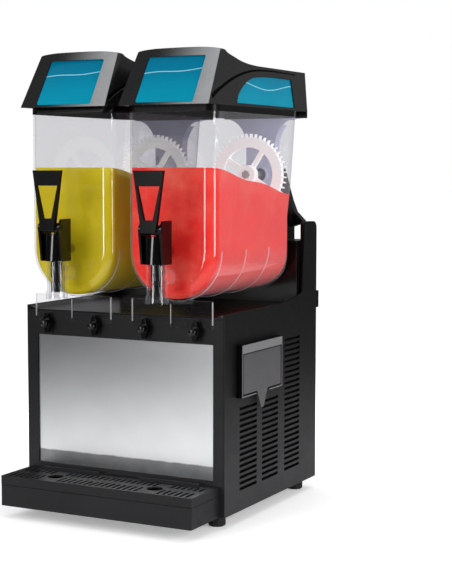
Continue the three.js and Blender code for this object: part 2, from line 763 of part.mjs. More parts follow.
function gearWheel() {
  const rimInner = gear.rimShare * gearModule * gear.wheelTeeth / 2;
  const y1 = gearY + gear.width;
  const through = [gearY - over, y1 + over];
  let wheel = prismY(toothed(gear.wheelTeeth, gear.phaseShare), gearY, y1);
  wheel = wheel.subtract(rodY(rimInner, through[0], through[1], 0, 0, large));
  for (let i = 0; i < gear.spokeCount; i += 1) {
    const arm = block(
      [gear.shaft, rimInner + gearModule / 2], [gearY + fit, y1 - fit], about(0, gear.spoke / 2),
    );
    wheel = wheel.add(arm.rotate([0, -gear.spokeAngle - 360 * i / gear.spokeCount, 0]));
  }
  const hubStart = y1 - gear.hubWidth;
  wheel = wheel.add(rodY(gear.hub, hubStart, y1, 0, 0));
  wheel = wheel.subtract(rodY(gear.shaft + fit, hubStart - over, y1 + over, 0, 0));
  return wheel.translate([0, 0, wheelZ]);
}

function motorFront() {
  return uprightFront + upright.wall + fit;
}

function driveShaft() {
  const hubStart = gearY + gear.width - gear.hubWidth;
  const headStart = hubStart - fit - gear.screwDepth;
  const end = motorFront() - motor.bossDepth + motor.socket - fit;
  const rod = rodY(gear.shaft, headStart + fit, end, 0, wheelZ, coarse);
  const head = rodY(gear.screwHead, headStart, hubStart - fit, 0, wheelZ);
  const slot = block(
    about(0, gear.shaft), [headStart - over, headStart + gear.screwDepth / 2],
    about(wheelZ, gear.screwSlot / 2),
  );
  return rod.add(head).subtract(slot);
}

function gearMotor() {
  const front = motorFront();
  const bossFront = front - motor.bossDepth;
  const can = rodY(motor.radius, front, bodyDepth - housing.wall - fit, 0, wheelZ);
  const boss = rodY(motor.boss, bossFront, front + fit, 0, wheelZ);
  const socket = rodY(gear.shaft + fit, bossFront - over, bossFront + motor.socket, 0, wheelZ);
  return can.add(boss).subtract(socket);
}

function uprightOutline(inset) {
  const z0 = axisZ + drumRadius + housing.blockOver + fit;
  const z1 = bowlTopZ - lid.rearDrop - inset;
  const flareFrom = z1 + inset - upright.flareRise;
  const topHalf = bowl.half - upright.topEdge;
  const right = [[upright.foot - inset, z0 - inset * 2], [upright.neck - inset, wheelZ]];
  for (let i = 0; i <= upright.flareSteps; i += 1) {
    const angle = i / upright.flareSteps * Math.PI / 2;
    const run = 1 - Math.cos(angle);
    right.push([
      upright.neck + run * (topHalf - upright.neck) - inset, flareFrom + Math.sin(angle) * (z1 - flareFrom),
    ]);
  }
  const left = right.map(([x, z]) => [-x, z]).reverse();
  return [...right, ...left];
}

function uprightShell() {
  const y1 = bellFront - fit;
  const face = uprightFront - upright.bossDepth;
  let shape = prismY(uprightOutline(0), uprightFront, y1);
  shape = shape.subtract(prismY(uprightOutline(upright.wall), uprightFront + upright.wall, y1 + over));
  shape = shape.add(rodY(upright.boss, face, uprightFront + fit, 0, wheelZ));
  return shape.subtract(rodY(motor.boss + fit, face - over, y1, 0, wheelZ));
}

// Tap

function tapTopZ() {
  return axisZ + tap.shroudTop;
}

function tapPin() {
  return { y: -tap.y - tap.pinForward, z: tapTopZ() + tap.pinRise };
}

function tapBody() {
  const z0 = axisZ - tap.shroudBottom;
  const z1 = tapTopZ();
  const y = -tap.y;
  const back = y + tap.cheekBack;
  const top = z1 + tap.cheekRise;
  const pin = tapPin();
  let shape = rodZ(tap.shroud, z0, z1, 0, y);
  for (const side of both) {
    const x = onSide(side, tap.cheekHalf - tap.cheek, tap.cheekHalf);
    const cheek = prismX([
      [pin.y, z0], [back, z0], [back, top], [pin.y, top], ...arc(pin.y, pin.z, tap.hub, 120, 210, 5),
    ], x[0], x[1]);
    shape = shape.add(cheek);
  }
  const holes = join([
    rodZ(tap.tube + fit, z0 - over, axisZ + 2 * fit, 0, y),
    rodZ(tap.bore, axisZ, z1 - skin, 0, y),
    rodZ(tap.neck + runFit, z1 - over, z1 + over, 0, y),
    rodX(tap.pinRadius + fit, -tap.cheekHalf - over, tap.cheekHalf + over, pin.y, pin.z, coarse),
  ]);
  return shape.subtract(holes);
}

function tapHandle() {
  const pin = tapPin();
  const topZ = pin.z + handle.rise;
  const footZ = pin.z - tap.hub / 2;
  const windowZ = pin.z + handle.windowFoot;
  const windowTop = topZ - handle.grip;
  const y1 = pin.y - tap.hub + handle.thick / 2;
  const y0 = y1 - handle.thick;
  const hubHalf = tap.cheekHalf - tap.cheek - fit;
  const outer = [
    [-handle.bottomHalf, footZ], [handle.bottomHalf, footZ], [handle.topHalf, topZ], [-handle.topHalf, topZ],
  ];
  const hole = [
    [-handle.windowBottom, windowZ], [handle.windowBottom, windowZ],
    [handle.windowTop, windowTop], [-handle.windowTop, windowTop],
  ];
  let shape = prismY(outer, y0, y1).subtract(prismY(hole, y0 - over, y1 + over));
  shape = shape.add(rodX(tap.hub, -hubHalf, hubHalf, pin.y, pin.z));
  for (const side of both) {
    const x = onSide(side, tap.prongGap / 2, tap.prongGap / 2 + tap.prong);
    const prong = prismX([
      [pin.y, pin.z - tap.prongHalf], [-tap.y, pin.z - tap.prongHalf],
      ...arc(-tap.y, pin.z, tap.prongHalf, -60, 60, 4),
      [-tap.y, pin.z + tap.prongHalf], [pin.y, pin.z + tap.prongHalf],
    ], x[0], x[1]);
    shape = shape.add(prong);
  }
  return shape.add(rodX(tap.pinRadius, -tap.cheekHalf, tap.cheekHalf, pin.y, pin.z, coarse));
}

function tapPiston() {
  const bottom = axisZ - tap.tubeDrop + tap.flangeHeight;
  const collarZ = axisZ - tap.collarDrop;
  const collarTop = collarZ + tap.collarHeight;
  const headZ = tapPin().z + tap.prongHalf + 2 * fit;
  const waistZ = bottom + tap.rod * 2;
  const ease = tap.rod - tap.waist;
  const profile = [
    [0, bottom], [tap.rod, bottom], [tap.rod, waistZ - ease], [tap.waist, waistZ],
    [tap.waist, waistZ + ease], [tap.rod, waistZ + 2 * ease], [tap.rod, collarZ], [tap.collar, collarZ],
    [tap.collar, collarTop], [tap.neck, collarTop], [tap.neck, headZ], [tap.head, headZ],
    [tap.head, headZ + tap.headHeight], [0, headZ + tap.headHeight],
  ].map(([r, z]) => new THREE.Vector2(r, z));
  const geometry = new THREE.LatheGeometry(profile, round);
  geometry.rotateX(Math.PI / 2);
  geometry.translate(0, -tap.y, 0);
  return solid(geometry);
}

function tapSpring() {
  const { sideCount, stepCount, wire } = spring;
  const z0 = axisZ - tap.collarDrop + tap.collarHeight + fit + wire;
  const z1 = tapTopZ() - skin - fit - wire;
  const radius = (tap.bore + tap.neck) / 2;
  const count = spring.turnCount * stepCount;
  const positions = [];
  const indices = [];
  for (let i = 0; i <= count; i += 1) {
    const angle = 2 * Math.PI * i / stepCount;
    const z = z0 + (z1 - z0) * i / count;
    for (let k = 0; k < sideCount; k += 1) {
      const turn = 2 * Math.PI * k / sideCount;
      const r = radius + wire * Math.cos(turn);
      positions.push(r * Math.cos(angle), r * Math.sin(angle), z + wire * Math.sin(turn));
    }
  }
  for (let i = 0; i < count; i += 1) {
    for (let k = 0; k < sideCount; k += 1) {
      const a = i * sideCount + k;
      const b = i * sideCount + (k + 1) % sideCount;
      indices.push(a, b + sideCount, b, a, a + sideCount, b + sideCount);
    }
  }
  const last = count * sideCount;
  for (let k = 1; k + 1 < sideCount; k += 1) {
    indices.push(0, k, k + 1, last, last + k + 1, last + k);
  }
  const geometry = new THREE.BufferGeometry();
  geometry.setAttribute('position', new THREE.Float32BufferAttribute(positions, 3));
  geometry.setIndex(indices);
  return solid(geometry).translate([0, -tap.y, 0]);
}

// Thumb knobs

function knobZ() {
  return deckZ - bowl.apronDrop - knob.below;
}

function knobPlaces() {
  return both.flatMap((unit) => both.map((side) => unit * bowlPitch / 2 + side * knobX));
}

function thumbKnob() {
  const back = -fit - bowl.apronWall - knob.standOff;
  const wing = [
    [knob.hub, 0], [knob.wingTip, knob.wingHalf], [-knob.wingTip, knob.wingHalf],
    [-knob.hub, 0], [-knob.wingTip, -knob.wingHalf], [knob.wingTip, -knob.wingHalf],
  ];
  return join([
    rodY(knob.hub, back - knob.depth, back, 0, 0, coarse),
    prismY(wing, back - knob.wingDepth - skin, back - skin),
    rodY(knob.stud, back - fit, back + knob.studLength, 0, 0, coarse),
  ]);
}

// Product in the bowl, with room for the turning auger and the gear wheel

function productBody() {
  const front = -bowl.front;
  const rear = rearLow + 2 * over;
  const gap = product.tunnelGap;
  const top = [];
  for (let i = 0; i <= product.stepCount; i += 1) {
    const t = i / product.stepCount;
    const wave = product.wave * Math.sin(t * product.waveCount * 2 * Math.PI);
    const level = product.frontRise + t * (product.rearRise - product.frontRise);
    top.push([front + t * (rear - front), axisZ + level + wave]);
  }
  const outline = [...top, [rear, axisZ - 2 * bowl.half], [front, axisZ - 2 * bowl.half]];
  const inside = bowlBody(bowl.wall + fit, bowlTopZ + over);
  const shape = inside.intersect(prismX(outline, -bowl.half, bowl.half));
  const sweep = (augerRadius + gap / 2) / Math.cos(Math.PI / large);
  const socket = auger.pin + runFit + auger.socketWall + gap;
  const wheel = gearModule * (gear.wheelTeeth / 2 + 1) + gap;
  const hubY = gearY + gear.width - gear.hubWidth - gear.screwDepth - 2 * gap;
  return shape.subtract(join([
    rodY(sweep, auger.noseFront - gap, rearTop, 0, axisZ, large),
    rodY(socket, front, auger.noseFront, 0, axisZ),
    rodY(wheel, gearY - gap, rearTop, 0, wheelZ, large),
    rodY(gear.hub + gap, hubY, gearY, 0, wheelZ),
  ]));
}

// Lid

function lidSide(inset) {
  const z0 = bowlTopZ + fit;
  const crownY = lid.crownRun - lid.front;
  const rear = lidRear - inset;
  const roof = roofShares.map(([u, v]) => [
    crownY + u * (lidRear - crownY), z0 + lid.crown - inset - v * (lid.crown - lid.roofRise),
  ]);
  return [
    [inset - lid.front, z0 + inset],
    [inset - lid.front + lid.bezelRun, z0 + lid.bezelRise - inset],
    [crownY + inset / 2, z0 + lid.crown - inset],
    ...roof,
    [rear, z0 + lid.roofRise - inset],
    [rear, z0 + inset],
  ];
}

function lidFront(inset) {
  const z0 = bowlTopZ + fit;
  const half = lidHalf - inset;
  const topHalf = lidTopHalf - inset;
  const z1 = z0 + lid.crown - lid.arch - inset;
  const top = archShares.map(([u, v]) => [u * topHalf, z1 + v * lid.arch]);
  return [[half, z0 + inset], [topHalf, z1], ...top, [-topHalf, z1], [-half, z0 + inset]];
}

function lidBody(inset) {
  return prismX(lidSide(inset), -lidHalf, lidHalf)
    .intersect(prismY(lidFront(inset), -lid.front - over, lidRear + over));
}

function lidWalls() {
  return lidBody(0).subtract(lidBody(lid.wall));
}

function frontLightPrism(grow) {
  const z0 = bowlTopZ + fit + frontLight.foot;
  const half = lidTopHalf - frontLight.edge + grow;
  return prismY(
    rectangle(-half, half, z0 - grow, z0 + frontLight.height + grow),
    -lid.front - over, -lid.front + lid.bezelRun + lid.wall,
  );
}

function sideLightPrism(grow, side) {
  const z0 = bowlTopZ + fit + sideLight.foot;
  const rear = lidRear - sideLight.rearGap;
  const curve = curveShares.map(([u, v]) => [
    sideLight.front + u * sideLight.curveRun, z0 + v * (sideLight.top - sideLight.foot),
  ]);
  const topZ = curve[curve.length - 1][1];
  const outline = [
    [sideLight.front - grow, z0 - grow], [rear + grow, z0 - grow],
    [rear - sideLight.rearLean + grow, topZ + grow],
    ...curve.slice(1).reverse().map(([y, z]) => [y - grow, z + grow]),
  ];
  const x = onSide(side, lidTopHalf / 2, lidHalf + over);
  return prismX(outline, x[0], x[1]);
}

function skirtPlan(inset) {
  const gap = bowl.wall + fit + inset;
  return roundedPlan(
    bowl.half - gap, -bowl.front + gap, rearTop - gap - lid.skirtWall,
    bowl.cornerFront - gap, bowl.cornerRear - gap,
  );
}

function lidShell(side) {
  const z0 = bowlTopZ + fit;
  const lower = z0 - lid.skirtDrop;
  const rearLip = block(
    about(0, lidHalf), [lidRear - lid.lipDepth, lidRear], [z0 - lid.rearDrop, z0 + lid.wall],
  );
  const shape = join([lidWalls(), prismZ(skirtPlan(0), lower, z0 + lid.wall), rearLip]);
  return shape.subtract(join([
    prismZ(skirtPlan(lid.skirtWall), lower - over, z0 + lid.wall + over),
    frontLightPrism(fit),
    sideLightPrism(fit, side),
  ]));
}

// Drip tray and grid

function trayDepth(inset) {
  return [-tray.depth - 2 * fit + inset, -2 * fit - inset];
}

function dripTray() {
  const z1 = baseZ + tray.rise;
  const hookBack = trayDepth(tray.wall)[1];
  let shape = block(about(0, trayHalf), trayDepth(0), [baseZ, z1]);
  shape = shape.subtract(block(
    about(0, trayHalf - tray.wall), trayDepth(tray.wall), [baseZ + tray.wall, z1 + over],
  ));
  for (const side of both) {
    const z = baseZ + tray.hookRise;
    const x = about(side * tray.hookX, tray.hookHalf);
    shape = shape.add(block(x, [hookBack, tray.hookReach], [z, z + tray.hookHeight]));
  }
  return shape;
}

function dripGrid() {
  const z0 = baseZ + tray.rise + fit;
  const z1 = z0 + grid.rise;
  const [y0, y1] = trayDepth(0);
  const lip = tray.wall + fit;
  const hollow = lip + grid.wall;
  const through = [z1 - grid.plate - over, z1 + over];
  let shape = block(about(0, trayHalf), trayDepth(0), [z0, z1]);
  shape = shape.add(block(about(0, trayHalf - lip), trayDepth(lip), [z0 - grid.lipDrop, z0 + fit]));
  shape = shape.subtract(block(
    about(0, trayHalf - hollow), trayDepth(hollow), [z0 - grid.lipDrop - over, z1 - grid.plate],
  ));
  const count = Math.floor(2 * (trayHalf - grid.end) / grid.step);
  const rows = [[grid.frontStart, grid.frontLength], [grid.rearStart, grid.rearLength]];
  const holeY = y0 + grid.holeDepth;
  const cuts = [];
  for (let i = 0; i <= count; i += 1) {
    const x = (i - count / 2) * grid.step;
    for (const [start, length] of rows) {
      const toHole = (y0 + start + length / 2 - holeY) / 2;
      const nearHole = both.some((unit) => (
        Math.hypot(x - unit * bowlPitch / 2, toHole) < grid.hole + grid.land
      ));
      if (nearHole) continue;
      cuts.push(block(about(x, grid.slot / 2), [y0 + start, y0 + start + length], through));
    }
  }
  shape = shape.subtract(join(cuts));
  const ribBack = y1 - grid.ribY;
  for (const unit of both) {
    const x = unit * bowlPitch / 2;
    shape = shape.subtract(rodZ(grid.hole, through[0], through[1], x, holeY));
    shape = shape.add(block(
      about(x, grid.rib), [ribBack - grid.ribDepth, ribBack], [z1 - fit, z1 + grid.ribRise],
    ));
  }
  return shape;
}

// Controls

function tubOutline(grow) {
  const window = boxWindow();
  return {
    y: [window.y[0] - box.wall - grow, window.y[1] + box.wall + grow],
    z: [window.z[0] - box.wall - grow, window.z[1] + box.wall + grow],
  };
}

function controlHousing() {
  const x0 = bodyHalf + fit;
  const x1 = x0 + box.proud;
  const z0 = baseZ + box.z;
  const backX = bodyHalf - box.depth;
  const window = boxWindow();
  const tub = tubOutline(0);
  const tongueY = box.y + box.tongueY;
  const hinge = flapAxis();
  const reach = box.pinLength + fit;
  const face = block([x0, x1], [box.y, box.y + box.width], [z0, z0 + box.height]);
  const holes = [
    block([backX + box.wall, x1 + over], window.y, window.z),
    block(
      [x1 - box.flapThick - 2 * box.flapGap, x1 + over], about(tongueY, box.tongueHalf + box.flapGap),
      [z0 - over, window.z[0] + over],
    ),
    rodY(box.pin + fit, window.y[0] - reach, window.y[1] + reach, hinge.x, hinge.z, coarse),
  ];
  for (let i = 0; i < rocker.count; i += 1) {
    const place = rockerPlace(i);
    holes.push(block(
      [backX - over, backX + box.wall + over], about(place.y, rocker.width / 2 + fit),
      about(place.z, rocker.half + rocker.gap),
    ));
  }
  return face.add(block([backX, x1 - fit], tub.y, tub.z)).subtract(join(holes));
}

function flapAxis() {
  const window = boxWindow();
  return { x: bodyHalf + fit + box.proud - box.barrel, z: window.z[1] - box.flapGap - box.barrel };
}

function controlFlap() {
  const window = boxWindow();
  const x1 = bodyHalf + fit + box.proud;
  const x0 = x1 - box.flapThick;
  const { x, z } = flapAxis();
  const y0 = window.y[0] + box.flapGap;
  const y1 = window.y[1] - box.flapGap;
  const foot = window.z[0] + box.flapGap;
  const tipZ = baseZ + box.z - box.tongueDrop;
  const middle = box.y + box.tongueY;
  const tongue = prismX([
    [middle - box.tongueHalf, foot + box.flapGap], [middle - box.tongueTip, tipZ],
    [middle + box.tongueTip, tipZ], [middle + box.tongueHalf, foot + box.flapGap],
  ], x0, x1);
  return join([
    block([x0, x1], [y0, y1], [foot, z]), tongue,
    rodY(box.barrel, y0, y1, x, z, coarse),
    rodY(box.pin, window.y[0] - box.pinLength, window.y[1] + box.pinLength, x, z, coarse),
  ]);
}

function rockerPlace(i) {
  const window = boxWindow();
  return {
    x: bodyHalf - box.depth + box.wall,
    y: box.y + rocker.first + i * rocker.step,
    z: (window.z[0] + window.z[1]) / 2 - rocker.drop,
  };
}

function rockerShape() {
  const { half, back, crown, dish, width } = rocker;
  const backHalf = rocker.backShare * half;
  const outline = [[-back, -backHalf], [dish, -half], [crown, 0], [dish, half], [-back, backHalf]];
  return prismY(outline, -width / 2, width / 2).rotate([0, rocker.tiltAngle, 0]);
}

// Cooling parts

function compressorShape() {
  const z0 = baseZ + skin + fit;
  const { x, radius, height, dome } = compressor;
  const y = bodyDepth / 2;
  const shoulder = domeShares.map(([u, v]) => [u * radius, height - v * dome]);
  const profile = [[0, 0], [radius, 0], ...shoulder].map(([r, h]) => new THREE.Vector2(r, h));
  const can = new THREE.LatheGeometry(profile, round);
  can.rotateX(Math.PI / 2);
  can.translate(x, y, z0 + compressor.plateZ - fit);
  const foot = block(
    about(x, compressor.plateX / 2), about(y, compressor.plateY / 2), [z0, z0 + compressor.plateZ],
  );
  return solid(can).add(foot);
}

function condenserShape() {
  const { width, length, height, finCount, finWidth, core } = condenser;
  const z0 = baseZ + skin + fit;
  const z = [z0, z0 + height];
  let shape = block(about(condenserX, core / 2), [condenserY, condenserY + length], z);
  for (let i = 0; i < finCount; i += 1) {
    const start = condenserY + i * (length - finWidth) / (finCount - 1);
    shape = shape.add(block(about(condenserX, width / 2), [start, start + finWidth], z));
  }
  return shape;
}

function fanPlaneX() {
  return condenserX - condenser.width / 2 - fan.gap - fan.depth;
}

function fanShape() {
  const shapes = [rodX(fan.hub, 0, fan.depth, 0, 0)];
  for (let i = 0; i < fan.bladeCount; i += 1) {
    const blade = block(about(0, fan.bladeWall / 2), about(0, fan.hub), [fan.hub / 2, fan.radius])
      .rotate([0, 0, fan.bladeAngle]).translate([fan.depth / 2, 0, 0]);
    shapes.push(blade.rotate([360 * i / fan.bladeCount, 0, 0]));
  }
  return join(shapes).translate([fanPlaneX(), fanY, baseZ + skin + fan.rise]);
}

function fanMotorShape() {
  const x1 = fanPlaneX() - fit;
  const z = baseZ + skin + fan.rise;
  const middle = x1 - fanMotor.length / 2;
  return join([
    rodX(fanMotor.radius, x1 - fanMotor.length, x1 - fan.shaft, fanY, z),
    rodX(fanMotor.nose, middle, x1, fanY, z, coarse),
    block(
      about(middle, fanMotor.footDepth / 2), about(fanY, fanMotor.footHalf), [baseZ + skin + fit, z],
    ),
  ]);
}

// Assembly

const machine = new THREE.Group();
const inside = new THREE.Group();
machine.add(inside);

inside.add(
  meshOf('chassis', chassis(), blackSatin),
  meshOf('side_panel_left', sidePanel(-1), blackSatin),
  meshOf('side_panel_right', sidePanel(1), blackSatin),
  meshOf('front_fascia', fasciaPlate(), blackSatin),
  meshOf('splash_panel', splashPanel(), steel),
  meshOf('deck', deck(), blackGloss),
  meshOf('rear_housing', rearHousing(), blackGloss),
  meshOf('power_inlet', powerInlet(), blackSatin),
  meshOf('drip_tray', dripTray(), blackTray),
  meshOf('drip_grid', dripGrid(), blackTray),
  meshOf('control_housing', controlHousing(), greyPlastic),
  meshOf('control_flap', controlFlap(), greyPlastic),
  meshOf('compressor', compressorShape(), castBlack),
  meshOf('condenser', condenserShape(), aluminium),
  meshOf('condenser_fan', fanShape(), greyPlastic),
  meshOf('fan_motor', fanMotorShape(), castBlack),
);

const footNames = ['foot_front_left', 'foot_front_right', 'foot_rear_left', 'foot_rear_right'];
footNames.forEach((name, i) => {
  const mesh = meshOf(name, foot(), rubber);
  const [x, y] = footPlaces()[i];
  mesh.position.set(x, y, 0);
  inside.add(mesh);
});

const rockerNames = ['main_switch', 'light_switch', 'left_bowl_switch', 'right_bowl_switch'];
rockerNames.forEach((name, i) => {
  const place = rockerPlace(i);
  const mesh = meshOf(name, rockerShape(), blackGloss);
  mesh.position.set(place.x, place.y, place.z);
  inside.add(mesh);
});

for (const side of both) {
  const word = side < 0 ? 'left' : 'right';
  const unit = new THREE.Group();
  unit.position.x = side * bowlPitch / 2;
  const walls = lidWalls();
  unit.add(
    meshOf(`bowl_${word}`, bowlShell(), clearPlastic),
    meshOf(`freezing_drum_${word}`, freezingDrum(), drumSteel),
    meshOf(`bowl_gasket_${word}`, bowlGasket(), rubber),
    meshOf(`auger_${word}`, augerShape(), whitePlastic),
    meshOf(`gear_wheel_${word}`, gearWheel(), whitePlastic),
    meshOf(`drive_shaft_${word}`, driveShaft(), steel),
    meshOf(`gear_motor_${word}`, gearMotor(), castBlack),
    meshOf(`upright_${word}`, uprightShell(), lilacPlastic),
    meshOf(`slush_${word}`, productBody(), side < 0 ? yellowSlush : redSlush),
    meshOf(`tap_body_${word}`, tapBody(), blackGloss),
    meshOf(`tap_handle_${word}`, tapHandle(), blackGloss),
    meshOf(`tap_piston_${word}`, tapPiston(), blackSatin),
    meshOf(`tap_spring_${word}`, tapSpring(), steel),
    meshOf(`lid_${word}`, lidShell(side), blackGloss),
    meshOf(`lid_front_light_${word}`, walls.intersect(frontLightPrism(0)), blueLight),
    meshOf(`lid_side_light_${word}`, walls.intersect(sideLightPrism(0, side)), blueLight),
  );
  for (const edge of both) {
    const mesh = meshOf(`thumb_knob_${word}_${edge < 0 ? 'a' : 'b'}`, thumbKnob(), blackGloss);
    mesh.position.set(edge * knobX, 0, knobZ());
    unit.add(mesh);
  }
  inside.add(unit);
}

const frontY = trayDepth(0)[0];
const rearY = bodyDepth + housing.lipDepth;
inside.position.y = -(frontY + rearY) / 2;
inside.position.x = -(fit + box.proud) / 2;

export default machine;
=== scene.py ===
import json
import logging
import math
from dataclasses import dataclass
from enum import Enum
from typing import Callable, Sequence

import bmesh
import bpy
from mathutils import Matrix, Vector

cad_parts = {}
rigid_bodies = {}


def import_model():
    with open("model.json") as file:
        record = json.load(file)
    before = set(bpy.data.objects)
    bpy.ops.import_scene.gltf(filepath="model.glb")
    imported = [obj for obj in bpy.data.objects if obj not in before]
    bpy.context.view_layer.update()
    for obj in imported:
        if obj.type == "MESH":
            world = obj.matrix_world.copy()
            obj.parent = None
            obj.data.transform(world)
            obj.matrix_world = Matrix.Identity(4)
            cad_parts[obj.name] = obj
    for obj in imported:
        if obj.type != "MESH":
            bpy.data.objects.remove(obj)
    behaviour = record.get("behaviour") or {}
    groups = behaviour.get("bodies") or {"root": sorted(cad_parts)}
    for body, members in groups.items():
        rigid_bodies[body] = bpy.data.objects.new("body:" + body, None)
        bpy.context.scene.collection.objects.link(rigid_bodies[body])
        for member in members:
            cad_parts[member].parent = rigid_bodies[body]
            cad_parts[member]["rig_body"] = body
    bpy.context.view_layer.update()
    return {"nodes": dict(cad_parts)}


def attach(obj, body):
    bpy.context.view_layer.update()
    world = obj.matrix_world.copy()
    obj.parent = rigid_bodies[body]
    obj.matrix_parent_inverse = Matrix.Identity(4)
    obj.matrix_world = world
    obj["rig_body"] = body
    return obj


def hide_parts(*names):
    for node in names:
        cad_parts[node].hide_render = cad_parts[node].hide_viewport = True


log = logging.getLogger("slush_machine")

Point2 = tuple[float, float]
Point3 = tuple[float, float, float]
Face = tuple[int, ...]
Colour = tuple[float, float, float]
Piece = bpy.types.Object
Socket = bpy.types.NodeSocket


# frame of reference

@dataclass(frozen=True)
class Datum:
    """Where the design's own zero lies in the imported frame, in millimetres."""

    x: float = -5.15
    y: float = -147.45

    def place(self, point: Point3) -> Vector:
        """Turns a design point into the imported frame.

        Args:
            point: x, y and z in design millimetres.

        Returns:
            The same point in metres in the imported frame.
        """
        return Vector(((point[0] + self.x) / 1000, (point[1] + self.y) / 1000, point[2] / 1000))


DATUM = Datum()
ZERO = DATUM.place((0, 0, 0))


class Axis(Enum):
    """The direction along which an outline is drawn out or turned."""

    X = 0
    Y = 1
    Z = 2

    def point(self, u: float, v: float, along: float) -> Point3:
        """Returns the design point of an outline's u, v at a place along this axis."""
        return {Axis.X: (along, u, v), Axis.Y: (u, along, v), Axis.Z: (u, v, along)}[self]


# from the machine's middle to each bowl's, in millimetres
BOWL_REACH = 100.0


class Side(Enum):
    """One of the two bowls, as seen by someone facing the front."""

    LEFT = -1
    RIGHT = 1

    @property
    def word(self) -> str:
        """Returns the ending that this side's names carry."""
        return self.name.lower()

    @property
    def x(self) -> float:
        """Returns the middle plane of this side's bowl in millimetres."""
        return BOWL_REACH * self.value


# node graphs

# the span in which most of a noise lies
NOISE_SPAN = (0.3, 0.7)


class Graph:
    """Adds and links the nodes of one tree."""

    def __init__(self, tree: bpy.types.NodeTree) -> None:
        """Starts with an empty tree.

        Args:
            tree: the node tree to fill.
        """
        self.tree = tree
        tree.nodes.clear()

    def add(self, kind: str, inputs: dict | None = None, **settings: object) -> bpy.types.Node:
        """Adds one node.

        Args:
            kind: Blender's name of the node type.
            inputs: values, or output sockets to link, by input name or index.
            **settings: properties set on the node itself.

        Returns:
            The new node.
        """
        node = self.tree.nodes.new(kind)
        for key, value in settings.items():
            setattr(node, key, value)
        for key, value in (inputs or {}).items():
            if isinstance(value, bpy.types.NodeSocket):
                self.link(value, node.inputs[key])
            else:
                node.inputs[key].default_value = value
        return node

    def link(self, source: Socket, target: Socket) -> None:
        """Links an output to an input."""
        self.tree.links.new(source, target)

    def math(self, operation: str, a: object, b: object = 0.0) -> Socket:
        """Returns the result of a Math node on two numbers or sockets."""
        return self.add("ShaderNodeMath", {0: a, 1: b}, operation=operation).outputs[0]

    def blend(self, factor: object, a: object, b: object) -> Socket:
        """Returns two colours mixed, with the factor as the share of the second."""
        return self.add("ShaderNodeMix", {0: factor, 6: a, 7: b}, data_type="RGBA").outputs[2]

    def ramp(self, value: Socket, low: float, high: float) -> Socket:
        """Eases a number from 0 at one value to 1 at another.

        Args:
            value: the socket to read.
            low: where the result is 0.
            high: where the result is 1.

        Returns:
            The socket that carries the eased share.
        """
        values = {0: value, 1: low, 2: high}
        return self.add("ShaderNodeMapRange", values, interpolation_type="SMOOTHSTEP").outputs[0]

    def between(self, share: Socket, low: float, high: float) -> Socket:
        """Returns a number between two others, by a share from 0 to 1."""
        return self.add("ShaderNodeMapRange", {0: share, 3: low, 4: high}).outputs[0]

    def place(self) -> Socket:
        """Returns the coordinates on the part itself."""
        return self.add("ShaderNodeTexCoord").outputs["Object"]

    def axes(self, vector: Socket) -> list[Socket]:
        """Returns a vector's x, y and z."""
        return list(self.add("ShaderNodeSeparateXYZ", {0: vector}).outputs)

    def noise(self, place: Socket, scale: float, detail: float, roughness: float = 0.5) -> Socket:
        """Returns a cloudy noise of this scale, detail and roughness."""
        values = {"Vector": place, "Scale": scale, "Detail": detail, "Roughness": roughness}
        return self.add("ShaderNodeTexNoise", values).outputs[0]

    def varied(self, noise: Socket, level: float, part: float) -> Socket:
        """Varies a number by a noise.

        Args:
            noise: the noise.
            level: the number's middle.
            part: how far it strays, as a part of the number.

        Returns:
            The socket that carries the varied number.
        """
        low, high = NOISE_SPAN
        values = {0: noise, 1: low, 2: high, 3: level * (1 - part), 4: level * (1 + part)}
        return self.add("ShaderNodeMapRange", values).outputs[0]

    def bump(self, height: Socket, strength: float, distance: float) -> Socket:
        """Returns the normal of a fine relief."""
        values = {"Strength": strength, "Distance": distance, "Height": height}
        return self.add("ShaderNodeBump", values).outputs[0]


def linear(colour: Colour) -> tuple[float, float, float, float]:
    """Turns a colour in 0 to 255 steps into Blender's linear numbers.

    Args:
        colour: red, green and blue as seen on a screen.

    Returns:
        The linear colour, fully opaque.
    """
    def channel(value: float) -> float:
        """Returns one channel by the screen's standard curve."""
        share = value / 255
        return share / 12.92 if share <= 0.04045 else ((share + 0.055) / 1.055) ** 2.4
    return (channel(colour[0]), channel(colour[1]), channel(colour[2]), 1.0)


# finishes

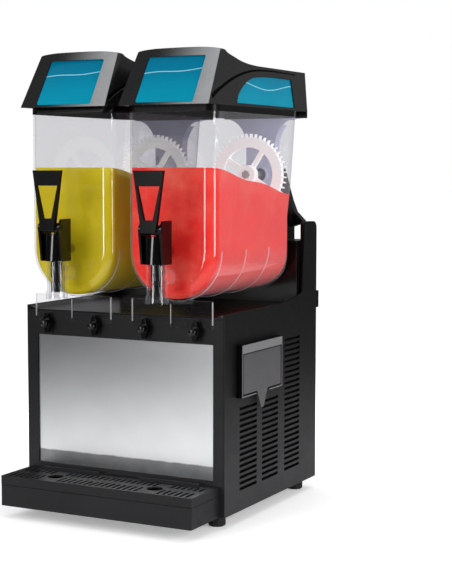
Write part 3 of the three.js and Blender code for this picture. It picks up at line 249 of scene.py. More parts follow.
@dataclass(frozen=True)
class Finish:
    """Moulded or painted surface with fine grain and a faint mottle.

    The fade runs up the part: below fade_low the lower colour shows, above fade_high the main one. On the
    black panels and the splash panel the fade is painted reflection and shade.
    """

    name: str
    slot: str
    colour: Colour
    roughness: float
    metallic: float = 0.0
    mottle: float = 0.12
    mottle_scale: float = 14.0
    grain: float = 0.12
    grain_scale: float = 900.0
    grain_depth: float = 0.0004
    spread: float = 0.08
    spread_ratio: float = 3.1
    specular: float = 0.5
    lower: Colour | None = None
    fade_low: float = 0.0
    fade_high: float = 1.0
    # emission: the own light of the lit panels, which are lamps, and painted light on parts that are no lamp
    glow: float = 0.0

    def material(self) -> bpy.types.Material:
        """Returns this finish's material, made on its first use."""
        title = self.name + "_finish"
        made = bpy.data.materials.get(title)
        if made is None:
            made = bpy.data.materials.new(title)
            made.use_nodes = True
            self.shade(Graph(made.node_tree))
        return made

    def shade(self, graph: Graph) -> None:
        """Builds the material's nodes.

        Args:
            graph: the material's graph.
        """
        place = graph.place()
        shader = self.shader(graph)
        colour = self.mottled(graph, place, self.base(graph, place))
        graph.link(colour, shader.inputs["Base Color"])
        if self.glow:
            shader.inputs["Emission Strength"].default_value = self.glow
            graph.link(colour, shader.inputs["Emission Color"])
        graph.link(self.rough(graph, place), shader.inputs["Roughness"])
        graph.link(self.relief(graph, place), shader.inputs["Normal"])

    def shader(self, graph: Graph) -> bpy.types.Node:
        """Adds the surface shader with its plain values.

        Args:
            graph: the material's graph.

        Returns:
            The Principled node, joined to the output.
        """
        values = {"Metallic": self.metallic, "Specular IOR Level": self.specular}
        shader = graph.add("ShaderNodeBsdfPrincipled", values)
        graph.add("ShaderNodeOutputMaterial", {"Surface": shader.outputs[0]})
        return shader

    def base(self, graph: Graph, place: Socket) -> object:
        """Returns the colour before its mottle: plain, or faded up the part."""
        if self.lower is None:
            return linear(self.colour)
        share = graph.ramp(graph.axes(place)[2], self.fade_low, self.fade_high)
        return graph.blend(share, linear(self.lower), linear(self.colour))

    def mottled(self, graph: Graph, place: Socket, colour: object) -> Socket:
        """Varies a colour's brightness in soft clouds.

        Args:
            graph: the material's graph.
            place: coordinates on the part.
            colour: the colour or socket to vary.

        Returns:
            The varied colour.
        """
        level = graph.varied(graph.noise(place, self.mottle_scale, detail=4.0), 1.0, self.mottle)
        values = {0: 1.0, 6: colour, 7: level}
        return graph.add("ShaderNodeMix", values, data_type="RGBA", blend_type="MULTIPLY").outputs[2]

    def rough(self, graph: Graph, place: Socket) -> Socket:
        """Returns a roughness that wanders a little over the part."""
        cloud = graph.noise(place, self.mottle_scale * self.spread_ratio, detail=3.0)
        return graph.varied(cloud, self.roughness, self.spread)

    def relief(self, graph: Graph, place: Socket) -> Socket:
        """Returns the normal with the moulding grain."""
        return graph.bump(graph.noise(place, self.grain_scale, detail=2.0), self.grain, self.grain_depth)


@dataclass(frozen=True)
class Brushed(Finish):
    """Rolled steel with fine strokes along X and, where it has one, a ragged darker band at its foot: a
    painted reflection of the drip tray.
    """

    grain_depth: float = 0.0002
    stroke: Point3 = (6.0, 6.0, 900.0)
    # the band is a painted reflection of the drip tray at the steel's foot
    band: Colour | None = None
    band_top: float = 0.0
    band_soft: float = 0.003
    band_ragged: float = 0.004
    band_scale: float = 38.0
    band_gain: float = 1.28

    def base(self, graph: Graph, place: Socket) -> object:
        """Returns the faded steel colour, with the painted reflection band at its foot."""
        faded = super().base(graph, place)
        if self.band is None:
            return faded
        cloud = graph.noise(place, self.band_scale, detail=5.0)
        ragged = graph.math("ADD", graph.axes(place)[2], graph.math("MULTIPLY", cloud, self.band_ragged))
        share = graph.ramp(ragged, self.band_top, self.band_top + self.band_soft)
        paler = tuple(min(255.0, self.band_gain * value) for value in self.band)
        return graph.blend(share, graph.blend(cloud, linear(self.band), linear(paler)), faded)

    def strokes(self, graph: Graph, place: Socket) -> Socket:
        """Returns the noise that is drawn out into strokes."""
        stretched = graph.add("ShaderNodeMapping", {"Vector": place, "Scale": self.stroke}).outputs[0]
        return graph.noise(stretched, 1.0, detail=6.0)

    def rough(self, graph: Graph, place: Socket) -> Socket:
        """Returns a roughness that follows the strokes."""
        return graph.varied(self.strokes(graph, place), self.roughness, self.spread)

    def relief(self, graph: Graph, place: Socket) -> Socket:
        """Returns the normal with the strokes."""
        return graph.bump(self.strokes(graph, place), self.grain, self.grain_depth)


@dataclass(frozen=True)
class Clear(Finish):
    """Clear moulded plastic: what lies behind shows, and only glancing faces turn milky and shiny.

    The haze and the shine are on the outer faces alone, because each wall has two.
    """

    tint: Colour = (246.0, 246.0, 247.0)
    haze: float = 0.004
    rim_haze: float = 0.4
    haze_power: float = 2.8
    gloss: float = 0.05
    rim_gloss: float = 0.75
    gloss_power: float = 5.0

    def shade(self, graph: Graph) -> None:
        """Builds the see-through body, its haze and its reflections."""
        place = graph.place()
        normal = self.relief(graph, place)
        facing = graph.add("ShaderNodeLayerWeight", {"Blend": 0.5, "Normal": normal}).outputs["Facing"]
        outer = graph.math("SUBTRACT", 1.0, graph.add("ShaderNodeNewGeometry").outputs["Backfacing"])
        body = graph.add("ShaderNodeBsdfTransparent", {0: linear(self.tint)}).outputs[0]
        milk = graph.add("ShaderNodeBsdfDiffuse", {0: self.mottled(graph, place, linear(self.colour))})
        mirror = graph.add("ShaderNodeBsdfGlossy", {"Roughness": self.rough(graph, place), "Normal": normal})
        for layer, power, low, high in (
            (milk, self.haze_power, self.haze, self.rim_haze),
            (mirror, self.gloss_power, self.gloss, self.rim_gloss),
        ):
            level = graph.between(graph.math("POWER", facing, power), low, high)
            share = graph.math("MULTIPLY", level, outer)
            body = graph.add("ShaderNodeMixShader", {0: share, 1: body, 2: layer.outputs[0]}).outputs[0]
        graph.add("ShaderNodeOutputMaterial", {"Surface": body})


@dataclass(frozen=True)
class Ice(Finish):
    """Frozen drink: packed fine crystals with paler drifts."""

    grain_depth: float = 0.0006
    crystal: float = 420.0
    pale: Colour = (255.0, 255.0, 255.0)
    drift_scale: float = 9.0
    drift_span: Point2 = (0.42, 0.78)
    soak: float = 0.25
    soak_reach: Point3 = (1.0, 0.25, 0.2)
    soak_depth: float = 0.008

    def base(self, graph: Graph, place: Socket) -> object:
        """Returns the drink's colour with its paler drifts."""
        drift = graph.noise(place, self.drift_scale, detail=6.0, roughness=0.62)
        return graph.blend(graph.ramp(drift, *self.drift_span), linear(self.colour), linear(self.pale))

    def shader(self, graph: Graph) -> bpy.types.Node:
        """Adds the shader with the light that soaks into the ice."""
        shader = super().shader(graph)
        shader.inputs["Subsurface Weight"].default_value = self.soak
        shader.inputs["Subsurface Radius"].default_value = self.soak_reach
        shader.inputs["Subsurface Scale"].default_value = self.soak_depth
        return shader

    def relief(self, graph: Graph, place: Socket) -> Socket:
        """Returns the normal with the crystals."""
        cells = graph.add("ShaderNodeTexVoronoi", {"Vector": place, "Scale": self.crystal}).outputs[0]
        return graph.bump(cells, self.grain, self.grain_depth)


@dataclass(frozen=True)
class Lit(Finish):
    """Backlit panel: a fade between two tones with one pale wave across it."""

    glow: float = 0.45
    across: Axis = Axis.X
    middle: float = 0.76
    swing: float = 0.003
    length: float = 0.11
    phase: float = 0.0
    tilt: float = 0.0
    origin: float = 0.0
    line: float = 0.001
    line_core: float = 0.25
    line_share: float = 0.5
    line_colour: Colour = (176.0, 226.0, 240.0)

    def base(self, graph: Graph, place: Socket) -> object:
        """Returns the faded colour with the wave on it."""
        axes = graph.axes(place)
        run = graph.math("SUBTRACT", axes[self.across.value], self.origin)
        angle = graph.math("ADD", graph.math("MULTIPLY", run, 2 * math.pi / self.length), self.phase)
        wave = graph.math("MULTIPLY", graph.math("SINE", angle), self.swing)
        rise = graph.math("ADD", graph.math("MULTIPLY", run, self.tilt), self.middle)
        gap = graph.math("ABSOLUTE", graph.math("SUBTRACT", axes[2], graph.math("ADD", wave, rise)))
        on_line = graph.ramp(gap, self.line, self.line * self.line_core)
        faint = graph.math("MULTIPLY", on_line, self.line_share)
        return graph.blend(faint, super().base(graph, place), linear(self.line_colour))


@dataclass(frozen=True)
class Trim(Finish):
    """Lid moulding whose front frame fades from black at the left to a grey painted reflection at the right.
    """

    # painted reflection on the front frame: its grey, where it starts and ends, and how it eases in
    bright: Colour = (150.0, 151.0, 153.0)
    left: float = 0.0
    right: float = 0.1
    fade_power: float = 1.5
    front_span: Point2 = (-0.55, -0.75)
    slope_span: Point2 = (0.25, 0.42)

    def base(self, graph: Graph, place: Socket) -> object:
        """Returns black, with the painted reflection on the sloping front frame only."""
        normal = graph.axes(graph.add("ShaderNodeNewGeometry").outputs["Normal"])
        fronts, slopes = graph.ramp(normal[1], *self.front_span), graph.ramp(normal[2], *self.slope_span)
        across = graph.ramp(graph.axes(place)[0], self.left, self.right)
        faded = graph.math("POWER", across, self.fade_power)
        share = graph.math("MULTIPLY", graph.math("MULTIPLY", fronts, slopes), faded)
        return graph.blend(share, linear(self.colour), linear(self.bright))


@dataclass(frozen=True)
class Paper(Finish):
    """Studio paper: white to the eye away from the object, and dark to the light beyond its sheet."""

    sheet: Point2 = (0.8, 2.0)
    beyond: Colour = (70.0, 70.0, 72.0)
    near: float = 0.3
    far: float = 0.95
    near_lift: float = 0.3
    far_lift: float = 1.0

    def away(self, graph: Graph, place: Socket) -> Socket:
        """Returns the distance from the paper's middle."""
        return graph.add("ShaderNodeVectorMath", {0: place}, operation="LENGTH").outputs["Value"]

    def base(self, graph: Graph, place: Socket) -> object:
        """Returns the paper's colour, dark past the sheet's edge."""
        share = graph.ramp(self.away(graph, place), *self.sheet)
        return graph.blend(share, linear(self.colour), linear(self.beyond))

    def shader(self, graph: Graph) -> bpy.types.Node:
        """Adds the shader with its glow to the eye."""
        shader = super().shader(graph)
        share = graph.ramp(self.away(graph, graph.place()), self.near, self.far)
        level = graph.between(share, self.near_lift, self.far_lift)
        seen = graph.add("ShaderNodeLightPath").outputs["Is Camera Ray"]
        shader.inputs["Emission Color"].default_value = (1, 1, 1, 1)
        graph.link(graph.math("MULTIPLY", level, seen), shader.inputs["Emission Strength"])
        return shader


class Finishes:
    """Every finish of the machine, by the record's slots."""

    # black panels: paler towards the bottom, a painted reflection of the floor
    PANEL = Finish(
        "black_panel", "black_panel", (9, 9, 10), 0.46, mottle=0.1, grain=0.12, grain_scale=1500,
        lower=(36, 35, 37), fade_low=0.03, fade_high=0.3, specular=0.2,
    )
    SHEET = Finish("black_sheet", "black_sheet", (16, 16, 17), 0.5, mottle=0.12, grain=0.1, specular=0.2)
    GLOSS = Finish(
        "black_gloss", "black_gloss", (8, 8, 9), 0.2, mottle=0.15, grain=0.03, grain_scale=300, specular=0.3,
    )
    TRIM = Finish("black_trim", "black_trim", (8, 8, 9), 0.3, mottle=0.12, grain=0.05, specular=0.14)
    TRAY = Finish(
        "black_tray", "black_tray", (24, 24, 26), 0.5, mottle=0.12, grain=0.15, grain_scale=1300,
        specular=0.2,
    )
    CAST = Finish("black_steel", "black_steel", (26, 26, 28), 0.6, metallic=0.2, mottle=0.25, grain=0.4)
    STEEL = Finish("stainless", "stainless", (190, 191, 193), 0.28, metallic=1.0, mottle=0.05, grain=0.05)
    # splash panel: darker at the top and pale lower down, painted shade and reflection of the dark parts
    # above; the ragged band at its foot is a painted reflection of the drip tray
    SPLASH = Brushed(
        "splash_steel", "stainless", (146, 147, 148), 0.3, metallic=1.0, mottle=0.03, grain=0.1,
        lower=(226, 227, 228), fade_low=0.1, fade_high=0.33, band=(118, 119, 120), band_top=0.108,
    )
    DRUM = Brushed("drum_steel", "drum_steel", (196, 198, 200), 0.3, metallic=1.0, mottle=0.05)
    ALUMINIUM = Finish("aluminium", "aluminium", (200, 203, 204), 0.45, metallic=1.0, mottle=0.1, grain=0.2)
    # the white wheels and lilac uprights glow: painted light that lifts their shade
    WHITE = Finish(
        "white_plastic", "white_plastic", (246, 246, 246), 0.38, mottle=0.03, grain=0.05, glow=0.5,
    )
    LILAC = Finish(
        "lilac_plastic", "lilac_plastic", (192, 193, 218), 0.34, mottle=0.04, grain=0.05, glow=0.28,
    )
    GREY = Finish("grey_plastic", "grey_plastic", (74, 73, 75), 0.42, mottle=0.06, grain=0.14, specular=0.3)
    # pale grey strips round the control housing's face: painted highlight on its edges
    BEAD = Finish("bead_grey", "grey_plastic", (112, 112, 114), 0.34, mottle=0.05, grain=0.1, specular=0.5)
    RUBBER = Finish("rubber", "rubber", (18, 18, 18), 0.85, mottle=0.2, grain=0.4, grain_scale=500)
    CLEAR = Clear("clear_plastic", "clear_plastic", (228, 228, 234), 0.03, mottle=0.02, grain=0.004)
    # milky finish of the bowl's ribs and the apron's thin strips: painted highlight
    RIB = Clear(
        "rib_plastic", "clear_plastic", (252, 248, 249), 0.1, mottle=0.02, grain=0.01,
        haze=0.34, rim_haze=0.45, rim_gloss=0.3,
    )
    # the slushes glow: painted light that lifts their shade
    RED = Ice(
        "red_slush", "red_slush", (244, 44, 36), 0.5, mottle=0.05, grain=0.14, specular=0.12,
        glow=0.14, pale=(252, 110, 90),
    )
    YELLOW = Ice(
        "yellow_slush", "yellow_slush", (214, 192, 9), 0.5, mottle=0.05, grain=0.14, specular=0.12,
        glow=0.1, pale=(230, 216, 70),
    )
    RED_COAT = Finish(
        "red_coat", "white_plastic", (214, 52, 46), 0.3, mottle=0.12, mottle_scale=60, grain=0.1,
    )
    YELLOW_COAT = Finish(
        "yellow_coat", "white_plastic", (200, 182, 30), 0.3, mottle=0.12, mottle_scale=60, grain=0.1,
    )
    # near-black strip in the lid crease's groove: painted shade
    SEAM = Finish("seam_black", "black_trim", (3, 3, 3), 0.7, mottle=0.1, grain=0.05, specular=0.05)
    ROD = Finish("rod_black", "black_trim", (6, 6, 7), 0.13, mottle=0.1, grain=0.02, specular=0.38)


# meshes

# how far apart doubled corners may lie, in metres: drawn, cut, packed and bevelled
MERGE_DRAWN = 1e-6
MERGE_CUT = 2e-6
MERGE_PACKED = 3e-6
MERGE_BEVELLED = 5e-6

# how far a tool passes what it cuts, and a joined piece its neighbour's face, in millimetres
OVER = 1.0
SUNK = 0.3

# shading: degrees past the rounded angle at which a curve turns sharp, and the pull of flat faces
SHARP_MARGIN = 6.0
FLAT_WEIGHT = 60


def stand(name: str, data: bpy.types.ID) -> Piece:
    """Returns a new object in the scene that shows this mesh, lamp or camera."""
    made = bpy.data.objects.new(name, data)
    bpy.context.scene.collection.objects.link(made)
    return made


def object_of(name: str, points: Sequence[Point3], faces: Sequence[Face]) -> Piece:
    """Makes a mesh object from design points.

    Args:
        name: the object's name.
        points: corners in design millimetres.
        faces: corner numbers of each face.

    Returns:
        The object, standing at the origin with outward faces.
    """
    mesh = bpy.data.meshes.new(name)
    mesh.from_pydata([DATUM.place(p) for p in points], [], faces)
    mesh.update()
    made = stand(name, mesh)
    tidy(made, MERGE_DRAWN)
    return made


def tidy(piece: Piece, distance: float) -> None:
    """Merges a piece's doubled corners and turns its faces outwards.

    Args:
        piece: the mesh object to tidy.
        distance: how far apart doubled corners may lie, in metres.
    """
    mesh = bmesh.new()
    mesh.from_mesh(piece.data)
    bmesh.ops.remove_doubles(mesh, verts=mesh.verts, dist=distance)
    bmesh.ops.recalc_face_normals(mesh, faces=mesh.faces)
    mesh.to_mesh(piece.data)
    mesh.free()


def bake(piece: Piece) -> Piece:
    """Turns a piece's live modifiers into its mesh.

    Args:
        piece: the object whose modifiers are applied.

    Returns:
        The same object, with a plain mesh.
    """
    bpy.context.view_layer.update()
    shaped = piece.evaluated_get(bpy.context.evaluated_depsgraph_get())
    mesh = bpy.data.meshes.new_from_object(shaped)
    piece.modifiers.clear()
    old = piece.data
    piece.data = mesh
    bpy.data.meshes.remove(old)
    return piece


def joined(rings: int, count: int) -> list[Face]:
    """Returns the faces that join each ring of corners to the next.

    Args:
        rings: number of rings.
        count: corners of each.

    Returns:
        The faces' corner numbers.
    """
    faces: list[Face] = []
    for k in range(rings - 1):
        for i in range(count):
            a, b = k * count + i, k * count + (i + 1) % count
            faces.append((a, b, b + count, a + count))
    return faces


def loft(name: str, rings: Sequence[tuple[float, Sequence[Point2]]], axis: Axis) -> Piece:
    """Joins outlines with the same number of corners into a closed body.

    Args:
        name: the object's name.
        rings: place along the axis and outline of each section, in millimetres.
        axis: the direction that the sections follow.

    Returns:
        A closed piece.
    """
    count = len(rings[0][1])
    points = [axis.point(u, v, along) for along, outline in rings for u, v in outline]
    ends: list[Face] = [tuple(range(count)), tuple(len(points) - 1 - i for i in range(count))]
    return object_of(name, points, ends + joined(len(rings), count))


def prism(name: str, outline: Sequence[Point2], axis: Axis, start: float, end: float) -> Piece:
    """Draws an outline out along an axis, from start to end, into a closed piece."""
    return loft(name, [(start, outline), (end, outline)], axis)


def block(name: str, x: Point2, y: Point2, z: Point2) -> Piece:
    """Makes a box-shaped tool or blank from three spans in millimetres."""
    return prism(name, [(y[0], z[0]), (y[1], z[0]), (y[1], z[1]), (y[0], z[1])], Axis.X, x[0], x[1])


def turned(
    name: str, profile: Sequence[Point2], axis: Axis, centre: Point2, steps: int = 48,
    lobe: Callable[[float], float] | None = None,
) -> Piece:
    """Turns a profile of (radius, place along the axis) into a closed round piece.

    Args:
        name: the object's name.
        profile: corners from one end to the other; the ends are closed on the axis.
        axis: the axis of turning.
        centre: the axis' place in the plane across it.
        steps: corners round the piece.
        lobe: optional factor on the radius by angle.

    Returns:
        A closed piece.
    """
    points: list[Point3] = []
    for radius, along in profile:
        for i in range(steps):
            angle = 2 * math.pi * i / steps
            reach = radius * (lobe(angle) if lobe else 1.0)
            points.append(axis.point(
                centre[0] + reach * math.cos(angle), centre[1] + reach * math.sin(angle), along,
            ))
    ends: list[Face] = [tuple(range(steps)), tuple(len(points) - 1 - i for i in range(steps))]
    return object_of(name, points, joined(len(profile), steps) + ends)


def rod(name: str, radius: float, span: Point2, axis: Axis, centre: Point2, steps: int = 48) -> Piece:
    """Makes a plain round tool or blank."""
    return turned(name, [(radius, span[0]), (radius, span[1])], axis, centre, steps)


def ring(name: str, loop: Sequence[Point2], axis: Axis, centre: Point2, steps: int) -> Piece:
    """Turns a closed loop of (radius, place along the axis) into a hollow round piece.

    Args:
        name: the object's name.
        loop: corners of the section, all off the axis.
        axis: the axis of turning.
        centre: the axis' place in the plane across it.
        steps: corners round the piece.

    Returns:
        A closed piece with a hole.
    """
    count = len(loop)
    points: list[Point3] = []
    for i in range(steps):
        angle = 2 * math.pi * i / steps
        for radius, along in loop:
            u, v = centre[0] + radius * math.cos(angle), centre[1] + radius * math.sin(angle)
            points.append(axis.point(u, v, along))
    total = len(points)
    faces: list[Face] = [
        (a % total, b % total, c % total, d % total) for a, b, c, d in joined(steps + 1, count)
    ]
    return object_of(name, points, faces)


def arc(centre: Point2, radius: float, start: float, end: float, steps: int) -> list[Point2]:
    """Returns the points of an arc, with its angles in degrees."""
    angles = [math.radians(start + (end - start) * i / steps) for i in range(steps + 1)]
    return [(centre[0] + radius * math.cos(a), centre[1] + radius * math.sin(a)) for a in angles]


def rounded(half: float, low: float, high: float, near: float, far: float, steps: int) -> list[Point2]:
    """Returns an oblong outline with rounded corners, even about u = 0.

    Args:
        half: half its width.
        low: its lowest v.
        high: its highest v.
        near: radius of the corners at the lowest v.
        far: radius of the corners at the highest v.
        steps: facets of each corner.

    Returns:
        The outline.
    """
    return [
        *arc((half - near, low + near), near, -90, 0, steps),
        *arc((half - far, high - far), far, 0, 90, steps),
        *arc((far - half, high - far), far, 90, 180, steps),
        *arc((near - half, low + near), near, 180, 270, steps),
    ]


def smooth_line(points: Sequence[Point2], steps: int = 5) -> list[Point2]:
    """Draws a smooth line through points.

    Args:
        points: the points it passes.
        steps: new points for each span.

    Returns:
        The finer line, with both ends kept.
    """
    ends = [points[0], *points, points[-1]]
    line: list[Point2] = []
    for a, b, c, d in zip(ends, ends[1:], ends[2:], ends[3:]):
        for i in range(steps):
            t = i / steps
            line.append(tuple(
                0.5 * (
                    2 * q + (r - p) * t + (2 * p - 5 * q + 4 * r - s) * t * t
                    + (3 * q - p - 3 * r + s) * t ** 3
                )
                for p, q, r, s in zip(a, b, c, d)
            ))
    return [*line, points[-1]]


class Act(Enum):
    """What a tool does to a piece."""

    JOIN = "UNION"
    CUT = "DIFFERENCE"
    KEEP = "INTERSECT"


def boolean(base: Piece, tool: Piece, act: Act) -> Piece:
    """Joins or cuts a piece with a tool, which is used up.

    Args:
        base: the piece to change.
        tool: the other piece.
        act: whether the tool's space is joined, cut out or all that is kept.

    Returns:
        The changed piece.
    """
    step = base.modifiers.new("step", "BOOLEAN")
    step.object = tool
    step.operation = act.value
    step.solver = "EXACT"
    bake(base)
    bpy.data.objects.remove(tool)
    return base


def cut(base: Piece, *tools: Piece) -> Piece:
    """Takes each tool's space out of a piece and returns the piece."""
    for tool in tools:
        boolean(base, tool, Act.CUT)
    return base


def fuse(base: Piece, *tools: Piece) -> Piece:
    """Joins each tool to a piece and returns the piece."""
    for tool in tools:
        boolean(base, tool, Act.JOIN)
    return base


def gather(name: str, base: Piece, *others: Piece) -> Piece:
    """Puts several closed shells into one mesh.

    Args:
        name: the name that the piece gets.
        base: the piece that is kept.
        *others: pieces whose faces move into it.

    Returns:
        The piece with all the faces.
    """
    mesh = bmesh.new()
    mesh.from_mesh(base.data)
    for other in others:
        mesh.from_mesh(other.data)
        bpy.data.objects.remove(other)
    mesh.to_mesh(base.data)
    mesh.free()
    base.name = name
    return base


def soften(piece: Piece, width: float, segments: int = 2, angle: float = 32.0) -> Piece:
    """Rounds a piece's edges and shades its curves smoothly.

    Args:
        piece: the mesh object.
        width: width of each rounded edge in millimetres, or 0 for none.
        segments: facets across it.
        angle: edges sharper than this many degrees are rounded.

    Returns:
        The same piece.
    """
    tidy(piece, MERGE_CUT)
    if width > 0:
        step = piece.modifiers.new("edges", "BEVEL")
        step.width = width / 1000
        step.segments = segments
        step.limit_method = "ANGLE"
        step.angle_limit = math.radians(angle)
        step.use_clamp_overlap = True
        step.miter_outer = "MITER_ARC"
        bake(piece)
        tidy(piece, MERGE_BEVELLED)
    piece.data.shade_smooth()
    piece.data.set_sharp_from_angle(angle=math.radians(angle + SHARP_MARGIN))
    step = piece.modifiers.new("flats", "WEIGHTED_NORMAL")
    step.keep_sharp = True
    step.weight = FLAT_WEIGHT
    return bake(piece)


def settle(piece: Piece, finish: Finish, body: str, *nodes: str) -> Piece:
    """Dresses a finished piece and gives it to its body.

    Args:
        piece: the finished mesh object.
        finish: what it is made of.
        body: the body that it rides on.
        *nodes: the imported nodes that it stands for.

    Returns:
        The same piece.
    """
    piece.data.materials.clear()
    piece.data.materials.append(finish.material())
    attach(piece, body)
    if nodes:
        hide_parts(*nodes)
    log.info("%s: %d faces on %s", piece.name, len(piece.data.polygons), body)
    return piece


def moved(piece: Piece, move: Matrix) -> Piece:
    """Moves a piece's mesh about the design's own zero and returns the piece."""
    piece.data.transform(Matrix.Translation(ZERO) @ move @ Matrix.Translation(-ZERO))
    return piece


def shift(piece: Piece, way: Point3) -> Piece:
    """Moves a piece's mesh by design millimetres and returns the piece."""
    piece.data.transform(Matrix.Translation(Vector(way) / 1000))
    return piece


def turn_about_y(piece: Piece, degrees: float) -> Piece:
    """Turns a piece about the design's own Y axis."""
    return moved(piece, Matrix.Rotation(math.radians(degrees), 4, "Y"))


def at_side(piece: Piece, side: Side, mirrored: bool = False) -> Piece:
    """Moves a piece modelled about x = 0 to its bowl.

    Args:
        piece: the piece.
        side: the bowl it belongs to.
        mirrored: whether the left one is the right one's mirror image.

    Returns:
        The same piece.
    """
    flip = -1.0 if mirrored and side is Side.LEFT else 1.0
    place = Matrix.Translation((side.x / 1000, 0, 0))
    moved(piece, place @ Matrix.Diagonal((flip, 1.0, 1.0, 1.0)))
    if flip < 0:
        piece.data.flip_normals()
    return piece


@dataclass
class Packed:
    """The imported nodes, to dress as they are or to copy for finer edges."""

    nodes: dict

    def body_of(self, node: str) -> str:
        """Returns the name of the body that holds a node."""
        return self.nodes[node]["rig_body"]

    def dress(self, finish: Finish, name: str) -> None:
        """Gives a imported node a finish."""
        mesh = self.nodes[name].data
        mesh.materials.clear()
        mesh.materials.append(finish.material())
        log.info("%s: packed node dressed in %s", name, finish.name)

    def refine(self, node: str, finish: Finish, width: float, segments: int = 2) -> Piece:
        """Stands a copy with rounded edges in a node's place.

        Args:
            node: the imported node.
            finish: what it is made of.
            width: width of the rounded edges in millimetres.
            segments: facets across each edge.

        Returns:
            The new piece.
        """
        piece = stand(node + "_fine", self.nodes[node].data.copy())
        tidy(piece, MERGE_PACKED)
        soften(piece, width, segments)
        return settle(piece, finish, self.body_of(node), node)

    def refine_all(self, rows: Sequence[tuple[str, Finish, float, int]], side: Side | None = None) -> None:
        """Refines several nodes.

        Args:
            rows: node, finish, width of its rounded edges and facets across each.
            side: the bowl whose word ends each node's name.
        """
        for node, finish, width, segments in rows:
            self.refine(f"{node}_{side.word}" if side else node, finish, width, segments)


# repeats

class Repeater:
    """Geometry Nodes that repeat a modelled piece along a line, round an axis, or both."""

    def __init__(self) -> None:
        """Builds the shared tree and keeps its inputs' identifiers."""
        tree = bpy.data.node_groups.new("repeat_piece", "GeometryNodeTree")
        face = tree.interface
        self.tree = tree
        self.keys: dict[str, str] = {}
        face.new_socket("Piece", in_out="INPUT", socket_type="NodeSocketGeometry")
        for name, kind in (
            ("Count", "NodeSocketInt"), ("Start", "NodeSocketVector"), ("Step", "NodeSocketVector"),
            ("Turn", "NodeSocketVector"), ("Material", "NodeSocketMaterial"),
        ):
            self.keys[name] = face.new_socket(name, in_out="INPUT", socket_type=kind).identifier
        face.new_socket("Pieces", in_out="OUTPUT", socket_type="NodeSocketGeometry")
        graph = Graph(tree)
        given = graph.add("NodeGroupInput").outputs
        line = graph.add("GeometryNodeMeshLine", {
            "Count": given["Count"], "Start Location": given["Start"], "Offset": given["Step"],
        })
        index = graph.add("GeometryNodeInputIndex").outputs[0]
        turn = graph.add("ShaderNodeVectorMath", {0: given["Turn"], "Scale": index}, operation="SCALE")
        copies = graph.add("GeometryNodeInstanceOnPoints", {
            "Points": line.outputs[0], "Instance": given["Piece"], "Rotation": turn.outputs[0],
        })
        real = graph.add("GeometryNodeRealizeInstances", {0: copies.outputs[0]})
        dressed = graph.add("GeometryNodeSetMaterial", {0: real.outputs[0], "Material": given["Material"]})
        graph.add("NodeGroupOutput", {0: dressed.outputs[0]})

    def repeat(
        self, piece: Piece, finish: Finish, count: int, start: Point3, step: Point3 = (0, 0, 0),
        turn: Point3 = (0, 0, 0),
    ) -> Piece:
        """Repeats a piece that is modelled about the design's zero.

        Args:
            piece: the object to repeat.
            finish: what it is made of.
            count: number of copies.
            start: place of the first copy in design millimetres.
            step: way from one copy to the next in millimetres.
            turn: turn from one copy to the next in degrees.

        Returns:
            The object with all its copies as a plain mesh.
        """
        piece.data.transform(Matrix.Translation(-ZERO))
        modifier = piece.modifiers.new("repeat", "NODES")
        modifier.node_group = self.tree
        modifier[self.keys["Count"]] = count
        modifier[self.keys["Start"]] = tuple(DATUM.place(start))
        modifier[self.keys["Step"]] = tuple(v / 1000 for v in step)
        modifier[self.keys["Turn"]] = tuple(math.radians(v) for v in turn)
        modifier[self.keys["Material"]] = finish.material()
        return bake(piece)


# shapes shared by the bowl, its product, its lid and its tap

@dataclass(frozen=True)
class BowlForm:
    """The trough that the bowl, the product and the lid's skirt are cut from, and places both share."""

    half: float = 85.5
    wall: float = 3.0
    front: float = -10.0
    axis_z: float = 472.0
    top_z: float = 718.0
    corner_front: float = 20.0
    corner_rear: float = 35.0
    rear_levels: tuple[Point2, ...] = ((301.0, 305.0), (526.0, 305.0), (577.0, 318.0), (719.0, 340.0))
    wheel_z: float = 600.53
    knob_x: float = 49.5
    knob_z: float = 338.5

    @property
    def under(self) -> float:
        """Returns the height of the bowl's lowest line."""
        return self.axis_z - self.half

    def trough(self, half: float, top: float, steps: int = 56) -> list[Point2]:
        """Returns the U-shaped section in x and z."""
        return [(half, top), (-half, top), *arc((0, self.axis_z), half, 180, 360, steps)]

    def plan(self, half: float, front: float, rear: float, corner: float, steps: int = 12) -> list[Point2]:
        """Returns a plan outline with its rear corners rounded."""
        right = arc((half - corner, rear - corner), corner, 0, 90, steps)
        left = arc((corner - half, rear - corner), corner, 90, 180, steps)
        return [(half, front), *right, *left, (-half, front)]

    def solid(self, name: str, inset: float, top: float, steps: int = 10) -> Piece:
        """Makes the space inside the bowl's surface, about x = 0.

        Args:
            name: the object's name.
            inset: how far inside the bowl's outer surface.
            top: height of its top.
            steps: facets of the rounded front rim.

        Returns:
            A closed body.
        """
        radius = self.corner_front - inset
        front = self.front + inset
        rings = []
        for i in range(steps + 1):
            turn = math.pi / 2 * i / steps
            drop = radius * (1 - math.sin(turn))
            rings.append((front + radius * (1 - math.cos(turn)), self.trough(self.half - inset - drop, top)))
        rings.append((self.rear_levels[-1][1] + self.wall, rings[-1][1]))
        body = loft(name, rings, Axis.Y)
        levels = []
        for z, rear in self.rear_levels:
            outline = self.plan(self.half + OVER, front - OVER, rear - inset, self.corner_rear - inset)
            levels.append((z if z < self.top_z else top + OVER, outline))
        return boolean(body, loft("rear_lean", levels, Axis.Z), Act.KEEP)


FORM = BowlForm()


# bowl and product

